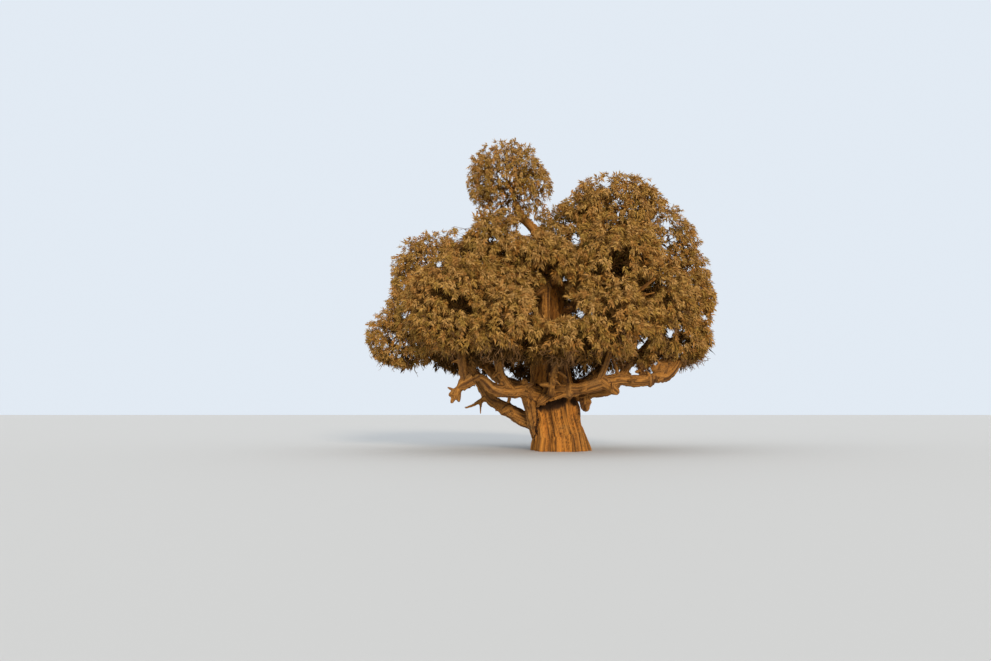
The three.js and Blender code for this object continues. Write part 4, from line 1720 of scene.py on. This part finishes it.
@dataclass
class Foliage:
    """The crown: twigs from every bough's tip, and the sprays that hang from them."""

    SPRAY_SHARES = (0.1, 0.55, 1.0)

    skeleton: Skeleton
    seed: int = 500
    # The twigs' ends, spread over each mass
    spacing: float = 0.62
    airy_spacing: float = 0.6
    jitter: float = 0.3
    sunk: float = 0.16
    sunk_patches: float = 0.12
    sunk_cells: float = 2.6
    inset: float = 0.22
    joint_share: float = 0.55
    crease: float = 0.7
    hidden_share: float = 0.06
    under_way: float = -0.6
    under_share: float = 0.7
    # How far sprays fill a crease between two masses
    fillet: float = 0.34
    fillet_span: float = 0.4
    under_fillet: float = 1.2
    # The sprays round each twig's end
    sprays_each: int = 9
    sizes: Pair = (0.32, 0.54)
    airy_size: float = 0.78
    clump: float = 0.19
    clump_shape: Xyz = (1, 1, 0.8)
    droops: Pair = (0.2, 1.0)
    least_droop: float = 0.3
    outward: float = 0.5
    fanned: float = 0.45
    shaken: float = 0.3
    tip_sag: float = 0.12
    snug: float = 0.995
    twist: float = 0.25
    # What makes a spray lighter than its neighbours: tone in patches and at random, and painted light on
    # sprays that stand out from their clump or face up
    tone_cells: float = 0.9
    tone_patches: float = 0.3
    tone_draw: float = 0.7
    painted_light_outward: float = 0.6
    painted_light_up: float = 0.1
    # Where sprays at the underside near the trunk are dealt the dark colour of painted shade
    shade_way: float = -0.4
    shade_middle: float = -1.2
    shade_reach: float = 4.5
    shade_height: float = 5.0
    # The main branches of each mass
    main_branches: int = 11
    main_reach: float = 0.62
    main_starts: Pair = (0.55, 1.0)
    main_shake: float = 0.03
    # The larger sprays in each mass's heart, dealt the dark colour of painted shade
    inner_spacing: float = 0.75
    airy_inner_share: float = 1.5
    inner_reach: float = 0.62
    inner_crowding: float = 1.6
    inner_sizes: Pair = (0.55, 0.85)
    inner_depths: Pair = (0.38, 0.66)
    inner_outward: float = 0.3
    inner_droop: float = 0.4
    full_girth: float = 1.6
    # The bare twigs under low masses, and their forks
    bare_twigs: int = 80
    near_trunk: float = 5.2
    under_height: float = 7.0
    far_share: float = 0.25
    bare_shape: Xyz = (1, 1, 0.5)
    bare_fall: float = 0.9
    bare_edge: float = 0.97
    bare_span: Pair = (0.6, 0.92)
    bare_reach: Pair = (0.05, 0.3)
    bare_sag: float = 0.12
    bare_shake: float = 0.035
    dead_forks: tuple[tuple[int, float], ...] = ((2, 0.4), (3, 0.34), (4, 0.26))
    fork_fall: float = 0.8
    fork_shake: float = 0.02
    # How many sides a twig has, and radii at the root and at the tip
    twig_sides: int = 3
    stem_girths: Pair = (0.1, 0.06)
    main_girths: Pair = (0.05, 0.016)
    twig_girths: Pair = (0.018, 0.007)
    twiglet_girths: Pair = (0.007, 0.0035)
    dead_girths: Pair = (0.022, 0.008)
    fork_girths: Pair = (0.012, 0.006)
    # What is gathered while the masses grow
    twigs: Chains = field(default_factory=Chains)
    twiglets: Chains = field(default_factory=Chains)
    dead: Chains = field(default_factory=Chains)
    outer: Sprays = field(default_factory=Sprays)
    inner: Sprays = field(default_factory=Sprays)
    tones_and_painted_light: list[Array] = field(default_factory=list)

    @staticmethod
    def directions(count: int, phase: float, jitter: float, rng: np.random.Generator) -> Array:
        """Spreads directions evenly all round by the golden turn, a little shaken.

        Args:
            count: How many there are.
            phase: Turns them all.
            jitter: How far they are shaken.
            rng: The source of anything random.

        Returns:
            The directions, one a row.
        """
        number = np.arange(count)
        heights = mix(0.97, -0.97, (number + 0.5) / count)
        turns = number * GOLDEN_TURN + phase
        ring = np.sqrt(1 - heights**2)
        even = np.stack((ring * np.cos(turns), ring * np.sin(turns), heights), -1)
        return unit(even + jitter * rng.normal(size=even.shape))

    @staticmethod
    def bowed(starts: Array, ends: Array, steps: int, bow: float) -> Array:
        """Lays lines that bow up, or that sag.

        Args:
            starts: Where they start.
            ends: Where they end.
            steps: How many corners each has.
            bow: How far each bows up, as a share of its length.

        Returns:
            The corners, by line and by corner along it.
        """
        shares = np.linspace(0, 1, steps)[None, :, None]
        straight = mix(starts[:, None], ends[:, None], shares)
        length = np.linalg.norm(ends - starts, axis=1)[:, None, None]
        return straight + UP * bow * length * np.sin(math.pi * shares)

    def grow(self, mass: Mass) -> None:
        """Grows one mass of foliage.

        Args:
            mass: The mass.
        """
        rng = np.random.default_rng(self.seed + int(10 * mass.phase))
        heart = np.array(mass.heart)
        spacing = self.airy_spacing if mass.airy else self.spacing
        mains = self.main_lines(mass, heart, rng)
        count = round(4 * math.pi * (mass.girth / spacing) ** 2)
        ways = self.directions(count, mass.phase, self.jitter * spacing / mass.girth, rng)
        open_air = mass.free(ways) > self.crease * mass.outline(ways)
        kept = open_air | (rng.random(count) < self.hidden_share)
        kept &= (ways[:, 2] > self.under_way) | (rng.random(count) < self.under_share)
        ways = ways[kept]
        sunk = self.sunk * rng.random(len(ways)) ** 2
        sunk += self.sunk_patches * noise(ways * self.sunk_cells + mass.phase * 9, seed=8)
        centres = heart + ways * (self.filled(mass, ways) * (1 - sunk) - self.inset)[:, None]
        joints = self.joints(mains, mix(heart, centres, self.joint_share))
        lines = self.bowed(joints, centres, steps=5, bow=0.1)
        self.twigs.add(lines[self.is_open(lines)], self.twig_girths)
        self.hang(mass, heart, ways, centres, rng)
        self.fill(mass, heart, rng)
        if mass.heart[2] < self.under_height:
            self.bare(mass, heart, rng)

    def filled(self, mass: Mass, ways: Array) -> Array:
        """Works out how far sprays reach, which is a little further in a crease.

        Args:
            mass: The mass.
            ways: Directions from its heart.

        Returns:
            The reach along each direction.
        """
        walls, outline = mass.wall(ways), mass.outline(ways)
        near = np.exp(-(((walls - outline) / self.fillet_span) ** 2))
        lower = 1 + self.under_fillet * np.clip(-ways[..., 2], 0, 1)
        return np.minimum(outline, walls) + self.fillet * near * lower

    def main_lines(self, mass: Mass, heart: Array, rng: np.random.Generator) -> Array:
        """Lays a mass's stem, and its main branches from the heart.

        Args:
            mass: The mass.
            heart: Its heart.
            rng: The source of anything random.

        Returns:
            The main branches' corners, by branch and by corner.
        """
        tip = mass.bough_tip
        self.twigs.add(self.bowed(tip[None], heart[None], steps=4, bow=0.0), self.stem_girths)
        ways = self.directions(self.main_branches, mass.phase, jitter=0.1, rng=rng)
        ends = heart + ways * (self.main_reach * mass.free(ways))[:, None]
        starts = mix(tip, heart, rng.uniform(*self.main_starts, (len(ways), 1)))
        lines = self.bowed(starts, ends, steps=7, bow=0.09)
        lines[:, 1:-1] += rng.normal(scale=self.main_shake, size=lines[:, 1:-1].shape)
        self.twigs.add(lines, self.main_girths)
        return lines

    @staticmethod
    def joints(mains: Array, wanted: Array) -> Array:
        """Picks where twigs leave the main branches.

        Args:
            mains: The main branches' corners.
            wanted: A place that each twig should leave near.

        Returns:
            The main branches' corner that is nearest to each wanted place.
        """
        corners = mains.reshape(-1, 3)
        gaps = np.linalg.norm(wanted[:, None] - corners[None], axis=2)
        return corners[gaps.argmin(axis=1)]

    def hang(
        self, mass: Mass, heart: Array, ways: Array, centres: Array, rng: np.random.Generator
    ) -> None:
        """Hangs sprays round the ends of a mass's twigs.

        Args:
            mass: The mass.
            heart: Its heart.
            ways: Each twig's direction from the heart.
            centres: Each twig's end.
            rng: The source of anything random.
        """
        out = np.repeat(ways, self.sprays_each, axis=0)
        centre = np.repeat(centres, self.sprays_each, axis=0)
        offset = rng.normal(size=centre.shape) * self.clump * np.array(self.clump_shape)
        flank = np.linalg.norm(out[:, :2], axis=1, keepdims=True)
        droop = rng.uniform(*self.droops, flank.shape) * (self.least_droop + flank)
        way = self.outward * out + self.fanned * unit(offset)
        way = unit(way + self.shaken * rng.normal(size=out.shape) - UP * droop)
        size = rng.uniform(*self.sizes, len(way)) * (self.airy_size if mass.airy else 1.0)
        root = centre + offset
        for _ in range(2):
            tip = root + way * size[:, None] - UP * self.tip_sag * size[:, None]
            reached = np.linalg.norm(tip - heart, axis=1)
            towards = unit(tip - heart)
            excess = np.maximum(0, reached - self.snug * self.filled(mass, towards))
            root -= towards * excess[:, None]
        open_air = self.is_clear(root, way, size)
        root, way, size, out, offset, centre = (
            part[open_air] for part in (root, way, size, out, offset, centre)
        )
        self.twiglets.add(np.stack((centre, root), 1), self.twiglet_girths)
        tone_and_painted_light = self.tone_patches * noise(centre * self.tone_cells, seed=21)
        tone_and_painted_light += self.tone_draw * rng.random(len(way))
        # Painted light: a spray that stands out from its clump, or faces up, is dealt a lighter shade
        tone_and_painted_light += self.painted_light_outward * np.einsum("ij,ij->i", offset, out) + self.painted_light_up * out[:, 2]
        # Sprays at the underside near the trunk take the dark colour of painted shade
        inward = np.hypot(centre[:, 0] - self.shade_middle, centre[:, 1]) < self.shade_reach
        under = (out[:, 2] < self.shade_way) & inward & (centre[:, 2] < self.shade_height)
        self.outer.add(root[~under], way[~under], size[~under])
        self.tones_and_painted_light.append(tone_and_painted_light[~under])
        self.inner.add(root[under], way[under], size[under])

    @staticmethod
    def is_clear(root: Array, way: Array, size: Array) -> Array:
        """Returns which sprays stay out of every clearing, by three points along each."""
        shares = np.array(Foliage.SPRAY_SHARES)[:, None]
        return Foliage.is_open(root[:, None] + way[:, None] * size[:, None, None] * shares)

    @staticmethod
    def is_open(lines: Array) -> Array:
        """Finds the lines that keep out of every clearing.

        Args:
            lines: Corners, by line and by corner along it.

        Returns:
            Whether each line's corners, and the middles between them, are all outside.
        """
        middles = mix(lines[:, 1:], lines[:, :-1], 0.5)
        points = np.concatenate((lines, middles), axis=1)
        return ~np.any([clearing.holds(points).any(axis=1) for clearing in CLEARINGS], axis=0)

    def fill(self, mass: Mass, heart: Array, rng: np.random.Generator) -> None:
        """Fills a mass's heart with larger sprays that the light hardly reaches, dealt the dark colour
        of painted shade.

        Args:
            mass: The mass.
            heart: Its heart.
            rng: The source of anything random.
        """
        spacing = self.inner_spacing * (self.airy_inner_share if mass.airy else 1.0)
        wide = self.inner_reach * mass.girth / spacing
        count = round(4 * math.pi * wide**2 * self.inner_crowding)
        ways = self.directions(count, mass.phase + 2, jitter=0.2, rng=rng)
        depths = mass.free(ways) * rng.uniform(*self.inner_depths, count)
        root = heart + ways * depths[:, None]
        turned = np.cross(ways, unit(rng.normal(size=ways.shape)))
        way = unit(turned + self.inner_outward * ways - self.inner_droop * UP)
        size = rng.uniform(*self.inner_sizes, count) * min(1.0, mass.girth / self.full_girth)
        clear = self.is_clear(root, way, size)
        self.inner.add(root[clear], way[clear], size[clear])

    def dealt(self) -> dict[Shade, Sprays]:
        """Deals the outer sprays out to the shades by their tone, which holds painted light, darkest
        first, in equal numbers.

        Returns:
            The sprays of each shade.
        """
        tone_and_painted_light = np.concatenate(self.tones_and_painted_light)
        shades = [shade for shade in Shade if shade is not Shade.INNER]
        rank = (tone_and_painted_light.argsort().argsort() * len(shades)) // len(tone_and_painted_light)
        rows = [np.concatenate(part) for part in self.outer.parts]
        sprays = {shade: Sprays() for shade in shades}
        for number, shade in enumerate(shades):
            sprays[shade].add(*(part[rank == number] for part in rows))
        sprays[Shade.INNER] = self.inner
        return sprays

    def bare(self, mass: Mass, heart: Array, rng: np.random.Generator) -> None:
        """Hangs bare dead twigs at the underside of a low mass, most of them near the trunk.

        Args:
            mass: The mass.
            heart: Its heart.
            rng: The source of anything random.
        """
        near = math.hypot(heart[0], heart[1]) < self.near_trunk
        count = round(self.bare_twigs * (1.0 if near else self.far_share))
        ways = unit(rng.normal(size=(count, 3)) * self.bare_shape - self.bare_fall * UP)
        free = mass.free(ways)
        kept = free > self.bare_edge * mass.outline(ways)
        ways, free = ways[kept], free[kept]
        low = np.clip(-1.6 * ways[:, 2:], 0.15, 1)
        first, last = self.bare_span
        starts = heart + ways * (first * free)[:, None]
        spread = unit(ways + 0.5 * rng.normal(size=ways.shape) - 0.5 * UP)
        reach = rng.uniform(*self.bare_reach, len(ways))[:, None] * low
        ends = heart + ways * (last * free)[:, None] + spread * reach
        lines = self.bowed(starts, ends, steps=6, bow=-self.bare_sag)
        lines[:, 1:] += rng.normal(scale=self.bare_shake, size=lines[:, 1:].shape)
        clear = self.is_open(lines)
        lines, low = lines[clear], low[clear]
        self.dead.add(lines, self.dead_girths)
        for corner, length in self.dead_forks:
            forks = lines[:, corner]
            ways = unit(rng.normal(size=forks.shape) - self.fork_fall * UP)
            twigs = self.bowed(forks, forks + ways * length * low, steps=4, bow=-self.bare_sag)
            twigs[:, 1:] += rng.normal(scale=self.fork_shake, size=twigs[:, 1:].shape)
            self.dead.add(twigs, self.fork_girths)

    def make(
        self, finishes: dict[Shade, bpy.types.Material], twig_bark: bpy.types.Material,
        dead_bark: bpy.types.Material,
    ) -> None:
        """Grows every mass and makes its pieces, each kind apart.

        Args:
            finishes: The leaf material of each shade.
            twig_bark: The twigs' bark.
            dead_bark: The dead twigs' bark.
        """
        for mass in self.skeleton.masses:
            self.grow(mass)
        nodes = [mass.node for mass in self.skeleton.masses]
        tree = twig_tree()
        for name, chains, bark in (
            ("twigs", self.twigs, twig_bark), ("twiglets", self.twiglets, twig_bark),
            ("dead_twigs", self.dead, dead_bark),
        ):
            rule = Rule(tree, {"Sides": self.twig_sides, "Thickness": 1.0, "Bark": bark})
            hand_in(chains.make(name, rule), "bark", nodes)
        fine = SprayKinds("spray_kinds")
        coarse = SprayKinds("inner_kinds", fronds=8, frond_length=0.6, stem=0.6, frond=Frond(width=0.22))
        outer_kinds, inner_kinds = fine.make(), coarse.make()
        tree = spray_tree()
        for number, (shade, sprays) in enumerate(self.dealt().items()):
            values = {
                "Sprays": inner_kinds if shade is Shade.INNER else outer_kinds,
                "Twist": self.twist, "Seed": 40 + number, "Leaf": finishes[shade],
            }
            name = f"sprays_{shade.value}"
            piece = sprays.make(name, Rule(tree, values), fine.kinds, 60 + number)
            hand_in(piece, "foliage", nodes)


@dataclass(frozen=True)
class Sun:
    """A soft light from far away."""

    name: str
    place: Xyz
    energy: float
    angle: float
    colour: Rgb

    def make(self) -> None:
        """Sets up the light."""
        data = bpy.data.lights.new(self.name, "SUN")
        data.energy = self.energy
        data.angle = math.radians(self.angle)
        data.color = self.colour
        light = placed(self.name, data)
        light.rotation_euler = Vector(self.place).to_track_quat("Z", "Y").to_euler()


@dataclass(frozen=True)
class Studio:
    """A pale floor, soft light, and the camera at the photograph's viewing angle."""

    eye: Xyz = VANTAGE
    tilt: float = 5.728
    focal_pixels: float = 810.0
    picture_width: float = 991.0
    sensor: float = 36.0
    farthest: float = 1500
    floor_half: float = 400.0
    floor_colour: Rgb = (0.62, 0.6, 0.57)
    floor_roughness: float = 0.9
    room_colour: Rgb = (0.8, 0.87, 0.95)
    room_strength: float = 0.95
    suns: tuple[Sun, ...] = (
        Sun("key", (8, -30, 10), 2.3, 14, (1.0, 0.87, 0.7)),
        Sun("fill", (-30, -18, 16), 0.5, 60, (0.85, 0.92, 1.0)),
    )

    def make_floor(self) -> None:
        """Lays the plain pale floor."""
        half = self.floor_half
        mesh = bpy.data.meshes.new("floor")
        corners = [(-half, -half, 0), (half, -half, 0), (half, half, 0), (-half, half, 0)]
        mesh.from_pydata(corners, [], [(0, 1, 2, 3)])
        material, graph = new_material("pale_floor", self.floor_colour)
        graph.surface((*self.floor_colour, 1), self.floor_roughness)
        mesh.materials.append(material)
        floor = placed("floor", mesh)

    def make_camera(self) -> None:
        """Sets up the camera."""
        data = bpy.data.cameras.new("camera")
        data.sensor_width = self.sensor
        data.lens = self.focal_pixels / self.picture_width * self.sensor
        data.clip_end = self.farthest
        camera = placed("camera", data)
        camera.location = self.eye
        camera.rotation_euler = Euler((math.radians(90 + self.tilt), 0, 0))
        bpy.context.scene.camera = camera

    def make_light(self) -> None:
        """Lights the tree softly, mostly from low in front and to the right."""
        for sun in self.suns:
            sun.make()
        world = bpy.data.worlds.new("pale_room")
        world.use_nodes = True
        graph = Graph(world.node_tree)
        inputs = {"Color": (*self.room_colour, 1), "Strength": self.room_strength}
        graph.add("ShaderNodeOutputWorld", {0: graph.out("ShaderNodeBackground", inputs)})
        bpy.context.scene.world = world
        bpy.context.scene.view_settings.view_transform = "Standard"


# The outer shades are dealt by tone, so the lighter ones are partly painted light on sprays that stand
# out or face up
LEAF_COLOURS = {
    Shade.UMBER: (0.37, 0.17, 0.035),
    Shade.GREEN: (0.345, 0.2, 0.042),
    Shade.OLIVE: (0.38, 0.207, 0.046),
    Shade.TAN: (0.42, 0.21, 0.056),
    Shade.GOLD: (0.425, 0.24, 0.062),
    Shade.AMBER: (0.465, 0.262, 0.08),
    # Painted shade, for sprays in the hearts and at the underside near the trunk
    Shade.INNER: (0.085, 0.04, 0.008),
}
# The bole's depth colour serves its furrows and cracks, and also the painted shade in crevices, below
# the collars and under the crown
BOLE_BARK = BarkFinish(
    "bole_bark", ridge=(0.6, 0.24, 0.036), side=(0.43, 0.155, 0.024),
    depth=(0.024, 0.01, 0.004), weathered=(0.33, 0.165, 0.045), width=0.045, run=1.7,
)
BOUGH_BARK = BarkFinish(
    "bough_bark", ridge=(0.5, 0.22, 0.043), side=(0.3, 0.125, 0.025),
    depth=(0.05, 0.02, 0.008), weathered=(0.26, 0.135, 0.045), width=0.045, run=0.45, bump=0.025,
)
TWIG_BARK = FineFinish("twig_bark", (0.13, 0.06, 0.015), 0.9, 30.0)
DEAD_TWIG_BARK = FineFinish("dead_twig_bark", (0.24, 0.125, 0.05), 0.9, 30.0)


def main() -> None:
    """Builds the tree over its frame, piece by piece."""
    logging.basicConfig(level=logging.INFO, format="%(message)s")
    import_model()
    studio = Studio()
    studio.make_camera()
    skeleton = Skeleton()
    strips = grain_group()
    bole_bark, bough_bark = BOLE_BARK.make(strips), BOUGH_BARK.make(strips)
    low = Wood("bole_and_low_boughs", skeleton, LOW, 0.042, with_trunk=True)
    low.make(bole_bark, bough_bark)
    Wood("high_limbs", skeleton, HIGH, 0.05).make(bough_bark, bough_bark)
    finishes = {
        shade: FineFinish(f"leaf_{shade.value}", colour).make()
        for shade, colour in LEAF_COLOURS.items()
    }
    Foliage(skeleton).make(finishes, TWIG_BARK.make(), DEAD_TWIG_BARK.make())
    studio.make_floor()
    studio.make_light()


if __name__ == "__main__":
    main()
